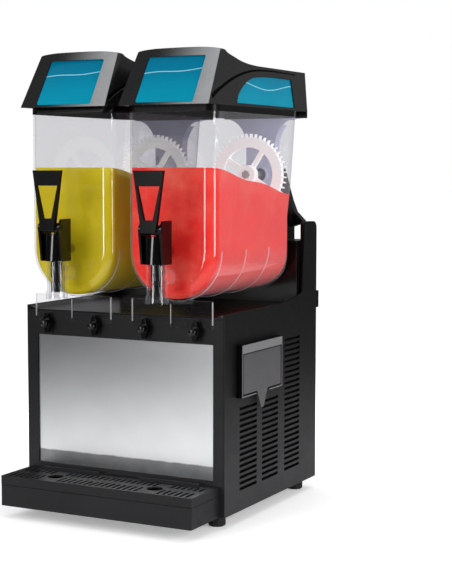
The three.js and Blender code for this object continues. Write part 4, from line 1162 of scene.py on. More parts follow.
@dataclass
class Bowl:
    """Clear bowl with its spout, apron and ribs, and the product in it."""

    side: Side
    edge: float = 0.7
    edge_angle: float = 40.0
    open_top: float = 5.0
    gasket_hole: float = 49.61
    gasket_span: Point2 = (299.0, 350.0)
    shaft_hole: float = 7.6
    shaft_span: Point2 = (304.0, 350.0)

    rib: float = 0.9
    rib_gap: float = 0.02
    rib_width: float = 2.2
    rib_places: tuple[float, ...] = (16.0, 108.0, 200.0)
    rib_top: float = 502.0

    apron_half: float = 79.0
    apron_bottom: float = 341.5
    apron_back: float = -0.3
    apron_corner: float = 6.0
    apron_notch: float = 9.4
    # thin milky strips on the apron's edges and crest: painted highlight
    notch_span: Point2 = (-10.0, 1.0)
    line_half: float = 0.6
    line_inset: float = 0.7
    line_rise: float = 0.25
    line_foot: float = 8.0
    line_head: float = 2.0
    crest_half: float = 0.5
    crest_rise: float = 0.3
    crest_sunk: float = 0.5
    crest_drop: float = 6.0
    line_edge: float = 0.2

    tap_y: float = -53.0
    tube: float = 17.0
    bore: float = 14.0
    tube_drop: float = 85.0
    flange: float = 19.0
    flange_height: float = 12.0
    port: float = 9.0
    port_wall: float = 3.5
    port_drop: float = 42.0
    neck_sunk: float = 1.5

    slush_gap: float = 0.3
    slush_high: float = 142.0
    slush_low: float = 92.0
    slush_wave: float = 2.2
    slush_steps: int = 60
    slush_past: float = 2.0
    slush_depth: float = 200.0
    # room for the stirrer, its socket, the wheel and its hub:
    # radius, start and end along y, height of the axis, corners round it
    rooms: tuple[tuple[float, float, float, float, int], ...] = (
        (80.05, 5.0, 345.0, FORM.axis_z, 128),
        (12.0, -4.7, 6.0, FORM.axis_z, 48),
        (77.5, 287.0, 345.0, FORM.wheel_z, 128),
        (18.5, 276.6, 288.0, FORM.wheel_z, 48),
    )

    def build(self) -> None:
        """Makes the bowl and its product."""
        self.shell()
        self.ribs()
        self.product()

    def shell(self) -> Piece:
        """Makes the clear bowl."""
        y, z = self.tap_y, FORM.axis_z
        shape = FORM.solid(f"bowl_{self.side.word}_clear", 0.0, FORM.top_z)
        fuse(shape, self.apron(), *self.spout())
        cut(shape, FORM.solid("inside", FORM.wall, FORM.top_z + self.open_top))
        cut(
            shape,
            rod("bore", self.bore, (z - self.tube_drop - OVER, z + OVER), Axis.Z, (0, y)),
            rod("port", self.port, (y, FORM.front + FORM.wall + OVER), Axis.Y, (0, z - self.port_drop)),
            rod("drum", self.gasket_hole, self.gasket_span, Axis.Y, (0, z), steps=96),
            rod("shaft", self.shaft_hole, self.shaft_span, Axis.Y, (0, FORM.wheel_z)),
        )
        soften(shape, self.edge, angle=self.edge_angle)
        at_side(shape, self.side)
        return settle(shape, Finishes.CLEAR, "machine", f"bowl_{self.side.word}")

    def ribs(self) -> Piece:
        """Makes the raised bands round the bowl, and thin strips on the edges and crest of its apron; their
        milky finish is a painted highlight.
        """
        bands = []
        for y in self.rib_places:
            outer = FORM.trough(FORM.half + self.rib, self.rib_top)
            inner = FORM.trough(FORM.half + self.rib_gap, self.rib_top)
            band = prism("band", [*outer, *reversed(inner)], Axis.Y, y, y + self.rib_width)
            bands.append(soften(band, 0.0))
        low, high = self.apron_bottom + self.line_foot, FORM.under + self.line_head
        face, half = self.apron_back - FORM.wall, self.line_half
        crest = face - FORM.wall
        for x in (self.line_inset - self.apron_half, self.apron_half - self.line_inset):
            line = block("line", (x - half, x + half), (face - self.line_rise, self.apron_back), (low, high))
            bands.append(soften(line, self.line_edge))
        bands.append(soften(block(
            "crest", (-self.crest_half, self.crest_half), (crest - self.crest_rise, crest + self.crest_sunk),
            (low, high - self.crest_drop),
        ), self.line_edge))
        piece = at_side(gather(f"bowl_{self.side.word}_ribs", *bands), self.side)
        return settle(piece, Finishes.RIB, "machine")

    def apron(self) -> Piece:
        """Makes the apron that hangs in front of the machine, with its ridge and shoulder."""
        wall, under, half, back = FORM.wall, FORM.under, self.apron_half, self.apron_back
        front, corner = back - wall, self.apron_corner
        plate = prism("apron", [
            *arc((half - corner, self.apron_bottom + corner), corner, -90, 0, steps=8),
            (half, under + wall), (-half, under + wall),
            *arc((corner - half, self.apron_bottom + corner), corner, 180, 270, steps=8),
        ], Axis.Y, front, back)
        face = FORM.front + SUNK
        shoulder = prism("shoulder", [
            (front, under - wall), (back, under - wall), (back + wall, under + wall),
            (face, under + FORM.half / 2), (face, under + wall),
        ], Axis.X, -half / 2, half / 2)
        section = [(-wall, front + SUNK), (wall, front + SUNK), (0, front - wall)]
        fuse(plate, shoulder, prism("ridge", section, Axis.Z, self.apron_bottom + wall, under))
        for x in (-FORM.knob_x, FORM.knob_x):
            cut(plate, rod("notch", self.apron_notch, self.notch_span, Axis.Y, (x, FORM.knob_z)))
        return plate

    def spout(self) -> list[Piece]:
        """Makes the solid bodies of the spout tube, its flange and its port."""
        y, z = self.tap_y, FORM.axis_z
        bottom = z - self.tube_drop
        neck = (y, FORM.front + self.neck_sunk)
        return [
            rod("tube", self.tube, (bottom, z + SUNK), Axis.Z, (0, y), steps=64),
            rod("flange", self.flange, (bottom, bottom + self.flange_height), Axis.Z, (0, y), steps=64),
            rod("neck", self.port + self.port_wall, neck, Axis.Y, (0, z - self.port_drop)),
        ]

    def product(self) -> Piece:
        """Makes the frozen drink with its sloped, waved top and the room for what turns in it."""
        word, z = self.side.word, FORM.axis_z
        shape = FORM.solid(f"slush_{word}_ice", FORM.wall + self.slush_gap, FORM.top_z)
        front, rear = FORM.front, FORM.rear_levels[0][1] + self.slush_past
        top: list[Point2] = []
        for i in range(self.slush_steps + 1):
            t = i / self.slush_steps
            level = z + self.slush_high + t * (self.slush_low - self.slush_high)
            top.append((front + t * (rear - front), level + self.slush_wave * math.sin(t * 4 * math.pi)))
        outline = [*top, (rear, z - self.slush_depth), (front, z - self.slush_depth)]
        boolean(shape, prism("level", outline, Axis.X, -FORM.half, FORM.half), Act.KEEP)
        for radius, start, end, height, steps in self.rooms:
            cut(shape, rod("room", radius, (start, end), Axis.Y, (0, height), steps))
        soften(shape, 0.0)
        at_side(shape, self.side)
        finish = Finishes.RED if self.side is Side.RIGHT else Finishes.YELLOW
        return settle(shape, finish, "machine", f"slush_{word}")


# drive

@dataclass
class Drive:
    """Gear wheel with its screw, the upright, and the parts behind and below them."""

    packed: Packed
    repeater: Repeater
    side: Side
    gear_y: float = 288.0
    width: float = 10.0
    edge: float = 0.8

    module: float = 3.06024
    teeth: int = 48
    addendum: float = 0.9
    dedendum: float = 1.2
    thick: float = 0.42
    slim: float = 1.35
    crest_share: float = 0.5
    tooth_sunk: float = 0.6
    tooth_edge: float = 0.35

    rim: float = 0.69
    hub: float = 17.5
    hub_width: float = 16.0
    bore: float = 6.3
    spokes: int = 4
    spoke: float = 9.0
    spoke_angle: float = 57.0
    spoke_inset: float = 1.5
    spoke_sunk: float = 3.0

    shaft: float = 6.0
    shaft_tip: float = 5.2
    shaft_end: float = 358.0
    shaft_slants: Point2 = (1.0, 0.8)
    screw_gap: float = 0.3
    screw_head: tuple[Point2, ...] = ((7.0, 0.0), (7.6, 0.5), (7.6, 2.6), (6.6, 3.4))
    screw_edge: float = 0.25
    slot_half: Point2 = (5.2, 1.1)
    slot_span: Point2 = (5.0, 2.0)
    lobes: int = 7
    lobe_rise: float = 0.12

    def build(self) -> None:
        """Makes and dresses the pieces of one drive."""
        word = self.side.word
        self.wheel()
        self.screw()
        self.packed.refine(f"upright_{word}", Finishes.LILAC, width=1.0, segments=3)
        coat = Finishes.RED_COAT if self.side is Side.RIGHT else Finishes.YELLOW_COAT
        for node, finish in (
            ("auger", coat), ("freezing_drum", Finishes.DRUM), ("bowl_gasket", Finishes.RUBBER),
            ("gear_motor", Finishes.CAST),
        ):
            self.packed.dress(finish, f"{node}_{word}")

    def wheel(self) -> Piece:
        """Makes the large wheel from its rim, hub, spokes and repeated teeth."""
        name = f"gear_wheel_{self.side.word}"
        y0, y1 = self.gear_y, self.gear_y + self.width
        root = self.module * (self.teeth / 2 - self.dedendum)
        inner = self.rim * self.module * self.teeth / 2
        centre = (0, FORM.wheel_z)
        hub_start = y1 - self.hub_width
        shape, hub = (
            ring(title, [(low, start), (high, start), (high, y1), (low, y1)], Axis.Y, centre, steps)
            for title, low, high, start, steps in (
                (name + "_fine", inner, root, y0, 144), ("hub", self.bore, self.hub, hub_start, 64),
            )
        )
        fuse(shape, hub)
        inset = self.spoke_inset
        for i in range(self.spokes):
            arm = block(
                "arm", (self.hub - self.spoke_sunk, inner + inset), (y0 + inset, y1 - inset),
                (-self.spoke / 2, self.spoke / 2),
            )
            turn_about_y(arm, -self.spoke_angle - 360 / self.spokes * i)
            fuse(shape, shift(arm, (0, 0, FORM.wheel_z)))
        soften(shape, self.edge)
        at_side(shape, self.side)
        return settle(self.toothed(shape, root), Finishes.WHITE, f"gear_{self.side.word}", name)

    def toothed(self, shape: Piece, root: float) -> Piece:
        """Adds the ring of teeth.

        Args:
            shape: the wheel's body.
            root: radius of the teeth's feet.

        Returns:
            The wheel.
        """
        tip = self.module * (self.teeth / 2 + self.addendum)
        foot = self.thick * math.pi * self.module / self.slim
        crest, low = foot * self.crest_share, root - self.tooth_sunk
        outline = [(low, -foot / 2), (tip, -crest / 2), (tip, crest / 2), (low, foot / 2)]
        tooth = prism("tooth", outline, Axis.Y, -self.width / 2, self.width / 2)
        step = 360 / self.teeth
        turn_about_y(tooth, step / 2)
        soften(tooth, self.tooth_edge)
        first = (self.side.x, self.gear_y + self.width / 2, FORM.wheel_z)
        teeth = self.repeater.repeat(tooth, Finishes.WHITE, self.teeth, first, turn=(0, step, 0))
        return gather(shape.name, shape, teeth)

    def screw(self) -> Piece:
        """Makes the drive shaft with its lobed thumb screw."""
        word, z = self.side.word, FORM.wheel_z
        start = self.gear_y + self.width - self.hub_width - self.screw_gap
        first, last = self.shaft_slants
        shaft = turned(f"drive_shaft_{word}_fine", [
            (self.shaft_tip, start - first), (self.shaft, start),
            (self.shaft, self.shaft_end), (self.shaft_tip, self.shaft_end + last),
        ], Axis.Y, (0, z), steps=32)

        def wavy(angle: float) -> float:
            """Returns the factor on the head's radius at an angle."""
            return 1 + self.lobe_rise * math.cos(self.lobes * angle)
        profile = [(radius, start - rise) for radius, rise in self.screw_head]
        head = turned("head", profile, Axis.Y, (0, z), steps=84, lobe=wavy)
        long, thin = self.slot_half
        far, near = self.slot_span
        cut(head, block("slot", (-long, long), (start - far, start - near), (z - thin, z + thin)))
        fuse(shaft, head)
        soften(shaft, self.screw_edge)
        at_side(shaft, self.side)
        return settle(shaft, Finishes.ALUMINIUM, f"gear_{word}", f"drive_shaft_{word}")


# lid

class Window(Enum):
    """The lit panels of a lid."""

    FRONT = "front"
    SIDE = "side"


@dataclass
class Lid:
    """Lid moulding with its two lit panels, its outer band and its crease."""

    side: Side
    z: float = 718.3
    wall: float = 3.0
    half: float = 86.5
    top_half: float = 79.5
    front: float = -33.0
    bezel_rise: float = 97.5
    bezel_run: float = 59.0
    crown: float = 98.7
    crown_run: float = 66.0
    crown_back: float = 1.0
    roof_rise: float = 72.4
    rear: float = 366.0
    rear_drop: float = 12.0
    lip_depth: float = 4.0
    arch: float = 6.5
    arch_steps: int = 24
    reach: Point2 = (-60.0, 400.0)
    edge: float = 0.9
    edge_angle: float = 30.0
    skirt_drop: float = 11.0
    skirt_wall: float = 2.5
    skirt_gap: float = 0.3
    roof_shares: tuple[Point2, ...] = (
        (0.0, 0.0), (0.033, 0.31), (0.075, 0.48), (0.1325, 0.635), (0.19, 0.795), (0.247, 0.89),
        (0.307, 0.958), (0.4, 1.0),
    )

    light_edge: float = 24.0
    light_foot: float = 4.0
    light_height: float = 79.0
    light_corner: float = 4.0
    side_foot: float = 5.0
    side_front: float = 74.0
    side_rear: float = 309.0
    side_lean: float = 8.0
    side_top: float = 56.0
    side_run: float = 150.0
    side_shares: tuple[Point2, ...] = (
        (0.0, 0.0), (0.05, 0.29), (0.23, 0.66), (0.44, 0.88), (0.7, 0.97), (1.0, 1.0),
    )
    recess: float = 2.3
    panel_gap: float = 0.2
    panel_edge: float = 0.15
    opening_gap: float = 0.3

    band_out: float = -1.0
    band_in: float = -0.2
    band_edge: float = 0.25

    crease_start: float = 4.6
    crease_end: float = 0.9
    crease_fall: float = 0.6
    crease_depth: float = 1.8
    crease_above: float = 0.5
    # the near-black strip at the groove's bottom is painted shade
    inlay_top: float = 1.3
    inlay_bottom: float = 1.85
    inlay_trim: float = 0.08
    crease_inset: float = 6.0
    crease_y: Point2 = (-70.0, 400.0)
    crease_z: Point2 = (700.0, 830.0)
    crease: tuple[Point2, ...] = (
        (-19.0, 730.0), (0.0, 740.0), (17.0, 747.0), (56.0, 762.0), (95.0, 773.0), (136.0, 780.5),
        (178.0, 783.8), (235.0, 785.0), (335.0, 784.0),
    )

    def build(self) -> None:
        """Makes the lit panels, the moulding, its band and its crease."""
        walls = cut(self.body("walls", 0.0), self.body("inside", self.wall))
        for window in Window:
            self.lit(walls, window)
        self.shell(walls)
        self.band()
        self.inlay()

    def placed(self, piece: Piece, finish: Finish, *nodes: str) -> Piece:
        """Moves a piece to its side, dresses it and gives it to the lid's body."""
        at_side(piece, self.side, mirrored=True)
        return settle(piece, finish, f"lid_unit_{self.side.word}", *nodes)

    def profile(self, inset: float) -> list[Point2]:
        """Returns the lid's outline from the side.

        Args:
            inset: how far inside the outer surface.

        Returns:
            Corners in y and z.
        """
        crown_y = self.front + self.crown_run
        run, fall = self.rear - crown_y, self.crown - self.roof_rise
        roof = smooth_line([
            (crown_y + u * run, self.z + self.crown - inset - v * fall) for u, v in self.roof_shares
        ])
        return [
            (self.front + inset, self.z + inset),
            (self.front + inset + self.bezel_run, self.z + self.bezel_rise - inset),
            (crown_y + inset / 2 - self.crown_back, self.z + self.crown - inset),
            *roof[1:],
            (self.rear - inset, self.z + self.roof_rise - inset), (self.rear - inset, self.z + inset),
        ]

    def section(self, inset: float) -> list[Point2]:
        """Returns the lid's outline from the front.

        Args:
            inset: how far inside the outer surface.

        Returns:
            Corners in x and z.
        """
        top = self.z + self.crown - self.arch - inset
        half, top_half = self.half - inset, self.top_half - inset
        angles = [math.pi * i / self.arch_steps for i in range(self.arch_steps + 1)]
        bow = [(top_half * math.cos(a), top + self.arch * math.sin(a)) for a in angles]
        return [(half, self.z + inset), *bow, (-half, self.z + inset)]

    def body(self, name: str, inset: float) -> Piece:
        """Makes the lid's full body, inset all round."""
        shape = prism(name, self.profile(inset), Axis.X, -self.half, self.half)
        return boolean(shape, prism("across", self.section(inset), Axis.Y, *self.reach), Act.KEEP)

    def window(self, which: Window, grow: float) -> Piece:
        """Makes the space of a lit panel.

        Args:
            which: the panel.
            grow: how much larger than the panel.

        Returns:
            A closed body.
        """
        if which is Window.FRONT:
            half = self.top_half - self.light_edge + grow
            low, corner = self.z + self.light_foot, self.light_corner
            outline = rounded(half, low - grow, low + self.light_height + grow, corner, corner, steps=5)
            end = self.front + self.bezel_run + self.wall
            return prism("front_window", outline, Axis.Y, self.reach[0], end)
        foot = self.z + self.side_foot
        curve = smooth_line([
            (self.side_front + u * self.side_run, foot + v * (self.side_top - self.side_foot))
            for u, v in self.side_shares
        ])
        outline = [
            (self.side_front - grow, foot - grow), (self.side_rear + grow, foot - grow),
            (self.side_rear - self.side_lean + grow, curve[-1][1] + grow),
            *[(y - grow, z + grow) for y, z in reversed(curve[1:])],
        ]
        return prism("side_window", outline, Axis.X, self.top_half / 2, self.half + self.wall)

    def lit(self, walls: Piece, which: Window) -> Piece:
        """Makes a lit panel, set a little behind the lid's surface.

        Args:
            walls: the lid's hollow wall.
            which: the panel.

        Returns:
            The panel.
        """
        word = self.side.word
        shape = stand(f"lid_{which.value}_panel_{word}", walls.data.copy())
        boolean(shape, self.window(which, -self.panel_gap), Act.KEEP)
        boolean(shape, self.body("skin", self.recess), Act.KEEP)
        soften(shape, self.panel_edge, segments=1)
        finish = FRONT_LIT[self.side] if which is Window.FRONT else SIDE_LIT
        return self.placed(shape, finish, f"lid_{which.value}_light_{word}")

    def shell(self, walls: Piece) -> Piece:
        """Makes the moulding round the panels, with its skirt, its rear lip and the crease's groove."""
        word, top = self.side.word, self.z + self.wall
        outer, lower = FORM.wall + self.skirt_gap, self.z - self.skirt_drop
        inner = outer + self.skirt_wall
        lip = block(
            "lip", (-self.half, self.half), (self.rear - self.lip_depth, self.rear),
            (self.z - self.rear_drop, top),
        )
        skirt = cut(self.plug(outer, lower, top), self.plug(inner, lower - OVER, top + OVER))
        walls.name = f"lid_{word}_fine"
        fuse(walls, lip, skirt)
        cut(walls, self.plug(inner, lower - OVER, top + OVER))
        cut(walls, *[self.window(window, self.opening_gap) for window in Window])
        soften(walls, self.edge, segments=3, angle=self.edge_angle)
        cut(walls, self.crease_band(-self.crease_above, self.crease_depth, 0.0))
        soften(walls, 0.0, angle=self.edge_angle)
        return self.placed(walls, LID_TRIM[self.side], f"lid_{word}")

    def band(self) -> Piece:
        """Makes the thin band round the bowl's rim."""
        lower = self.z - self.skirt_drop
        band = self.plug(self.band_out, lower, self.z)
        cut(band, self.plug(self.band_in, lower - OVER, self.z + OVER))
        band.name = f"lid_{self.side.word}_band"
        return self.placed(soften(band, self.band_edge), Finishes.TRIM)

    def inlay(self) -> Piece:
        """Makes the near-black strip at the bottom of the crease's groove: painted shade."""
        inlay = soften(self.crease_band(self.inlay_top, self.inlay_bottom, self.inlay_trim), 0.0)
        inlay.name = f"lid_{self.side.word}_crease"
        return self.placed(inlay, Finishes.SEAM)

    def crease_band(self, outer: float, inner: float, trim: float) -> Piece:
        """Makes the band that follows the crease on both sides of the lid.

        Args:
            outer: inset of its outer face.
            inner: inset of its inner face.
            trim: how much narrower than the crease it is at each edge.

        Returns:
            The band, cut from the lid's own form.
        """
        line = smooth_line(self.crease)
        upper, lower = [], []
        for i, (a, b) in enumerate(zip(line, line[1:])):
            share = (i / (len(line) - 1)) ** self.crease_fall
            half_width = self.crease_start + (self.crease_end - self.crease_start) * share - trim
            run, rise = b[0] - a[0], b[1] - a[1]
            long = math.hypot(run, rise)
            across = (-rise / long * half_width, run / long * half_width)
            upper.append((a[0] + across[0], a[1] + across[1]))
            lower.append((a[0] - across[0], a[1] - across[1]))
        band = prism("band", [*upper, *reversed(lower)], Axis.X, -self.half - OVER, self.half + OVER)
        skin = cut(self.body("crease", outer), self.body("core", inner))
        middle = (self.crease_inset - self.top_half, self.top_half - self.crease_inset)
        cut(skin, block("middle", middle, self.crease_y, self.crease_z))
        return boolean(skin, band, Act.KEEP)

    def plug(self, gap: float, low: float, high: float) -> Piece:
        """Makes a solid plug with the plan of the bowl's rim.

        Args:
            gap: how far inside the bowl's outside it stays, or outside it if negative.
            low: height of its bottom.
            high: height of its top.

        Returns:
            A closed body.
        """
        rear = FORM.rear_levels[-1][1] - gap - self.skirt_wall
        near, far = FORM.corner_front - gap, FORM.corner_rear - gap
        outline = rounded(FORM.half - gap, FORM.front + gap, rear, near, far, steps=8)
        return prism("plug", outline, Axis.Z, low, high)


def wave_panel(name: str, **values: object) -> Lit:
    """Returns a lit panel's finish in the shared blue tones."""
    return Lit(
        name, "blue_light", (0, 92, 120), 0.16, mottle=0.04, grain=0.01, specular=0.15, lower=(0, 116, 140),
        fade_low=0.722, fade_high=0.8, **values,
    )


def lid_moulding(side: Side, left: float = -60.0, right: float = 84.0) -> Trim:
    """Returns a lid's finish, whose painted reflection brightens from left to right of its own middle in
    millimetres.
    """
    start, end = (DATUM.place((side.x + x, 0, 0)).x for x in (left, right))
    return Trim(
        f"lid_moulding_{side.word}", "black_gloss", (24, 24, 25), 0.26, mottle=0.08, grain=0.03,
        left=start, right=end,
    )


FRONT_LIT = {
    side: wave_panel(
        f"front_light_{side.word}", across=Axis.X, middle=0.7755, swing=0.0014, length=0.105, phase=3.6,
        tilt=0.055, origin=DATUM.place((side.x, 0, 0)).x,
    )
    for side in Side
}
SIDE_LIT = wave_panel(
    "side_light", across=Axis.Y, middle=0.757, swing=0.0062, length=0.25, phase=-math.pi / 2, origin=0.0525,
)
LID_TRIM = {side: lid_moulding(side) for side in Side}


# tap and thumb knobs

@dataclass
class Tap:
    """Tap body, handle, piston and spring in front of one bowl, and the two knobs below it."""

    packed: Packed
    side: Side
    knob_front: float = -22.0
    knob_face: float = -15.0
    dome_radius: float = 7.0
    dome_rise: float = 4.0
    dome_steps: int = 8
    spring_foot: float = 0.4635
    spring_share: float = 0.62
    # node, finish, width of its rounded edges and facets across each
    edges: tuple[tuple[str, Finish, float, int], ...] = (
        ("tap_body", Finishes.ROD, 1.0, 3), ("tap_handle", Finishes.TRIM, 1.6, 3),
        ("tap_piston", Finishes.ROD, 0.8, 2),
    )

    def build(self) -> None:
        """Makes and dresses the pieces."""
        word = self.side.word
        self.packed.refine_all(self.edges, self.side)
        spring = self.packed.refine(f"tap_spring_{word}", Finishes.STEEL, width=0.0)
        for vertex in spring.data.vertices:
            vertex.co.z = self.spring_foot + (vertex.co.z - self.spring_foot) * self.spring_share
        for letter, x in (("a", -FORM.knob_x), ("b", FORM.knob_x)):
            name = f"thumb_knob_{word}_{letter}"
            self.packed.refine(name, Finishes.ROD, width=1.2, segments=3)
            settle(at_side(self.dome(name, x), self.side), Finishes.ROD, self.packed.body_of(name))

    def dome(self, name: str, x: float) -> Piece:
        """Makes the rounded cap on a thumb knob's hub.

        Args:
            name: the knob's name.
            x: the knob's place across its bowl.

        Returns:
            The cap.
        """
        profile = []
        for i in range(self.dome_steps + 1):
            angle = math.pi / 2 * i / self.dome_steps
            rise = self.dome_rise * math.cos(angle)
            profile.append((self.dome_radius * math.sin(angle), self.knob_front - rise))
        profile.append((self.dome_radius, self.knob_face))
        return soften(turned(name + "_cap", profile, Axis.Y, (x, FORM.knob_z), steps=40), 0.0)


# cabinet

@dataclass
class Cabinet:
    """Sheet and moulded housing of the machine, its feet and its inlet."""

    packed: Packed
    repeater: Repeater
    half: float = 200.0
    skin: float = 2.5
    foot_z: float = 22.0
    # node, finish, width of its rounded edges and facets across each
    edges: tuple[tuple[str, Finish, float, int], ...] = (
        ("deck", Finishes.GLOSS, 0.8, 2), ("rear_housing", Finishes.GLOSS, 1.6, 3),
        ("chassis", Finishes.SHEET, 0.6, 1), ("power_inlet", Finishes.TRIM, 0.6, 2),
        *((f"foot_{place}", Finishes.RUBBER, 1.2, 3) for place in (
            "front_left", "front_right", "rear_left", "rear_right",
        )),
    )

    louvre_first: float = 36.0
    louvre_step: float = 10.0
    louvre_height: float = 5.4
    overlap: float = 4.0
    blade_depth: float = 9.0
    blade_gap: float = 0.2
    blade_rise: float = 0.3
    blade_lip: float = 1.6
    blade_drop: Point2 = (-4.9, -6.1)
    blade_edge: float = 0.25
    columns: tuple[tuple[float, float, int], ...] = ((57.0, 68.0, 15), (146.0, 67.0, 15), (240.0, 67.0, 25))

    screw_places: tuple[Point2, ...] = ((64.4, 33.2), (339.0, 33.6))
    screw_radius: float = 4.0
    screw_sunk: float = 0.05
    # share of the radius and depth behind the face
    screw_head: tuple[Point2, ...] = ((0.5, 1.9), (1.0, 0.9), (1.0, 0.4), (0.82, 0.0))
    screw_edge: float = 0.15
    cross_depth: float = 1.2
    cross_long: float = 2.4
    cross_thin: float = 0.45

    def build(self) -> None:
        """Makes and dresses the pieces."""
        for side in Side:
            self.panel(side)
        self.packed.refine("front_fascia", Finishes.PANEL, width=0.0)
        self.packed.dress(Finishes.SPLASH, "splash_panel")
        self.packed.refine_all(self.edges)

    def panel(self, side: Side) -> None:
        """Makes one side panel with its blades and screws.

        Args:
            side: which panel.
        """
        word = side.word
        self.packed.refine(f"side_panel_{word}", Finishes.PANEL, width=0.7)
        columns = self.columns if side is Side.RIGHT else self.columns[:2]
        blades = [self.blades(side, *column) for column in columns]
        settle(gather(f"louvre_blades_{word}", *blades), Finishes.SHEET, "machine")
        screws = [self.screw(side, place) for place in self.screw_places]
        settle(gather(f"panel_screws_{word}", *screws), Finishes.ALUMINIUM, "machine")

    def blades(self, side: Side, start: float, width: float, count: int) -> Piece:
        """Makes a column of inward-bent louvre blades.

        Args:
            side: the panel they belong to.
            start: where the slots begin.
            width: their length.
            count: number of slots.

        Returns:
            The column.
        """
        out = self.half - self.skin - self.blade_gap
        top, inner = self.louvre_height + self.blade_rise, out - self.blade_depth
        high, low = self.blade_drop
        section = [(out, top), (inner, high), (inner, low), (out, top - self.blade_lip)]
        outline = [(side.value * x, z) for x, z in section]
        blade = prism("blade", outline, Axis.Y, -self.overlap, width + self.overlap)
        soften(blade, self.blade_edge, segments=1)
        first = (0, start - self.overlap, self.foot_z + self.louvre_first)
        return self.repeater.repeat(blade, Finishes.SHEET, count, first, (0, 0, self.louvre_step))

    def screw(self, side: Side, place: Point2) -> Piece:
        """Makes one flat screw head with its cross recess, set in the panel's face."""
        out, sign = self.half - self.screw_sunk, side.value
        y, z = place
        profile = [(self.screw_radius * share, sign * (out - depth)) for share, depth in self.screw_head]
        head = turned("screw", profile, Axis.X, place, steps=32)
        span = tuple(sorted((sign * (out - self.cross_depth), sign * (out + OVER))))
        for long, high in ((self.cross_long, self.cross_thin), (self.cross_thin, self.cross_long)):
            cut(head, block("slot", span, (y - long, y + long), (z - high, z + high)))
        return soften(head, self.screw_edge)


@dataclass
class DripStation:
    """Drip tray and the grid on it."""

    packed: Packed

    def build(self) -> None:
        """Makes both pieces."""
        self.packed.refine("drip_tray", Finishes.TRAY, width=1.2, segments=3)
        self.packed.refine("drip_grid", Finishes.TRAY, width=0.7)


@dataclass
class Controls:
    """Control housing, its flap and the rocker switches behind it."""

    packed: Packed
    face: float = 210.3
    low_y: float = 44.0
    low_z: float = 221.0
    width: float = 164.0
    height: float = 92.0
    # the pale strips round the housing's face stand in for the highlight on its edges: painted highlight
    bead_wall: float = 1.6
    bead_sunk: float = 0.8
    bead_rise: float = 0.6
    bead_inset: Point2 = (1.5, 1.2)
    bead_edge: float = 0.3
    header: float = 14.4
    tongue: Point2 = (100.0, 154.0)

    def build(self) -> None:
        """Makes the pieces."""
        self.packed.refine("control_housing", Finishes.TRIM, width=0.9)
        self.packed.refine("control_flap", Finishes.GREY, width=0.7)
        self.bead()
        for name in ("main_switch", "light_switch", "left_bowl_switch", "right_bowl_switch"):
            self.packed.refine(name, Finishes.GLOSS, width=0.6)

    def bead(self) -> Piece:
        """Makes pale grey strips round the housing's face, a painted highlight on the frame's edges, and the
        plate over its header.
        """
        depth, wall = (self.face - self.bead_sunk, self.face + self.bead_rise), self.bead_wall
        across, up = self.bead_inset
        y0, y1 = self.low_y + across, self.low_y + self.width - across
        z0, z1 = self.low_z + up, self.low_z + self.height - up
        bars = [
            block("bead", depth, y, z) for y, z in (
                ((y0, y0 + wall), (z0, z1)), ((y1 - wall, y1), (z0, z1)),
                ((y0 + wall, y1 - wall), (z1 - self.header, z1)),
                ((y0 + wall, self.tongue[0]), (z0, z0 + wall)),
                ((self.tongue[1], y1 - wall), (z0, z0 + wall)),
            )
        ]
        made = gather("control_bead", *[soften(bar, self.bead_edge) for bar in bars])
        return settle(made, Finishes.BEAD, "machine")


@dataclass
class CoolingUnit:
    """Compressor, condenser, fan and fan motor on the floor pan."""

    packed: Packed

    def build(self) -> None:
        """Makes and dresses the pieces."""
        self.packed.refine("compressor", Finishes.CAST, width=1.2)
        self.packed.dress(Finishes.ALUMINIUM, "condenser")
        self.packed.refine("condenser_fan", Finishes.SHEET, width=0.4, segments=1)
        self.packed.refine("fan_motor", Finishes.CAST, width=0.6)


# camera and studio

@dataclass
class PhotoCamera:
    """The camera at the photograph's place, in metres and degrees."""

    place: Point3 = (1.27025, -2.24615, 0.6136)
    tilt: float = -5.01
    swing: float = 27.99
    lens: float = 87.44
    shift_x: float = 0.0384

    def build(self) -> None:
        """Adds the camera and makes it the scene's own."""
        data = bpy.data.cameras.new("photo_camera")
        data.lens = self.lens
        data.shift_x = self.shift_x
        camera = stand("photo_camera", data)
        camera.location = self.place
        camera.rotation_euler = (math.radians(90 + self.tilt), 0, math.radians(self.swing))
        bpy.context.scene.camera = camera
        log.info("camera: %.2f mm lens", self.lens)


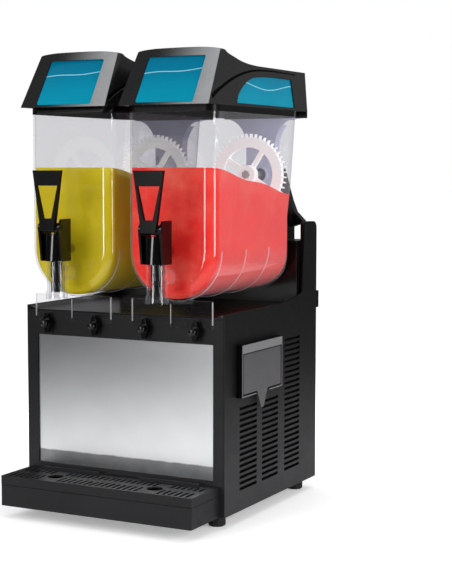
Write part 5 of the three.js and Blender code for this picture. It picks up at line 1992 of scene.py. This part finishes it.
@dataclass
class Studio:
    """Surroundings that are white to the eye and dim to the light, a pale floor and soft lamps."""

    floor: Colour = (250, 250, 250)
    size: float = 30.0
    soft: float = 0.85
    mirrored: float = 0.28
    sky_span: Point2 = (-0.2, 0.7)
    sky_low: Colour = (240, 240, 240)
    sky_high: Colour = (206, 206, 208)
    # name, place, aim, width and height in metres, and watts
    lamps: tuple[tuple[str, Point3, Point3, Point2, float], ...] = (
        ("key", (-1.2, -2.6, 1.7), (0.0, 0.0, 0.5), (1.5, 1.5), 32.0),
        ("edge", (2.6, -0.6, 1.2), (0.0, 0.0, 0.5), (0.9, 0.9), 26.0),
        ("top", (0.2, 0.4, 2.4), (0.0, 0.0, 0.5), (1.6, 1.6), 16.0),
        ("panel_front", (-0.56, -2.44, 0.39), (0.16, -0.15, 0.39), (0.6, 0.44), 10.5),
        ("panel_side", (2.5, -0.48, 0.33), (0.16, -0.15, 0.33), (0.72, 0.56), 15.5),
    )

    def build(self) -> None:
        """Adds the world, the floor and the lamps."""
        self.world()
        self.ground()
        for lamp in self.lamps:
            self.lamp(*lamp)
        bpy.context.scene.view_settings.view_transform = "Standard"

    def world(self) -> None:
        """Makes a world that is white to the eye, grey to the light and darker to reflections."""
        world = bpy.data.worlds.new("studio")
        world.use_nodes = True
        graph = Graph(world.node_tree)
        height = graph.axes(graph.add("ShaderNodeTexCoord").outputs["Generated"])[2]
        share = graph.ramp(height, *self.sky_span)
        path = graph.add("ShaderNodeLightPath").outputs
        level = graph.between(path["Is Glossy Ray"], self.soft, self.mirrored)
        sky = graph.blend(share, linear(self.sky_low), linear(self.sky_high))
        soft = graph.add("ShaderNodeBackground", {0: sky, 1: level}).outputs[0]
        plain = graph.add("ShaderNodeBackground", {0: (1, 1, 1, 1), 1: 1.0}).outputs[0]
        mixed = graph.add("ShaderNodeMixShader", {0: path["Is Camera Ray"], 1: soft, 2: plain}).outputs[0]
        graph.add("ShaderNodeOutputWorld", {0: mixed})
        bpy.context.scene.world = world

    def ground(self) -> None:
        """Makes the floor, white to the eye except where a shadow lies."""
        made = bpy.data.meshes.new("floor")
        s = self.size
        made.from_pydata([(-s, -s, 0), (s, -s, 0), (s, s, 0), (-s, s, 0)], [], [(0, 1, 2, 3)])
        floor = stand("floor", made)
        finish = Paper("floor_paper", "paper", self.floor, 0.9, mottle=0.01, mottle_scale=2.0, grain=0.02)
        made.materials.append(finish.material())

    def lamp(self, name: str, place: Point3, aim: Point3, size: Point2, power: float) -> None:
        """Adds one soft oblong lamp.

        Args:
            name: the lamp's name.
            place: where it hangs.
            aim: the point it faces.
            size: its width and height in metres.
            power: its power in watts.
        """
        data = bpy.data.lights.new(name, "AREA")
        data.shape = "RECTANGLE"
        data.size, data.size_y = size
        data.energy = power
        lamp = stand(name, data)
        lamp.location = place
        lamp.rotation_euler = (Vector(aim) - Vector(place)).to_track_quat("-Z", "Y").to_euler()


# the whole machine

@dataclass
class SlushMachine:
    """All sub-assemblies, built in order."""

    packed: Packed

    def build(self) -> None:
        """Builds every sub-assembly."""
        repeater = Repeater()
        Cabinet(self.packed, repeater).build()
        for unit in (DripStation, Controls, CoolingUnit):
            unit(self.packed).build()
        for side in Side:
            Drive(self.packed, repeater, side).build()
            Bowl(side).build()
            Tap(self.packed, side).build()
            Lid(side).build()


def main() -> None:
    """Loads the frame, dresses it and sets the picture."""
    logging.basicConfig(level=logging.INFO, format="%(name)s %(message)s")
    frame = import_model()
    SlushMachine(Packed(frame["nodes"])).build()
    Studio().build()
    PhotoCamera().build()


if __name__ == "__main__":
    main()
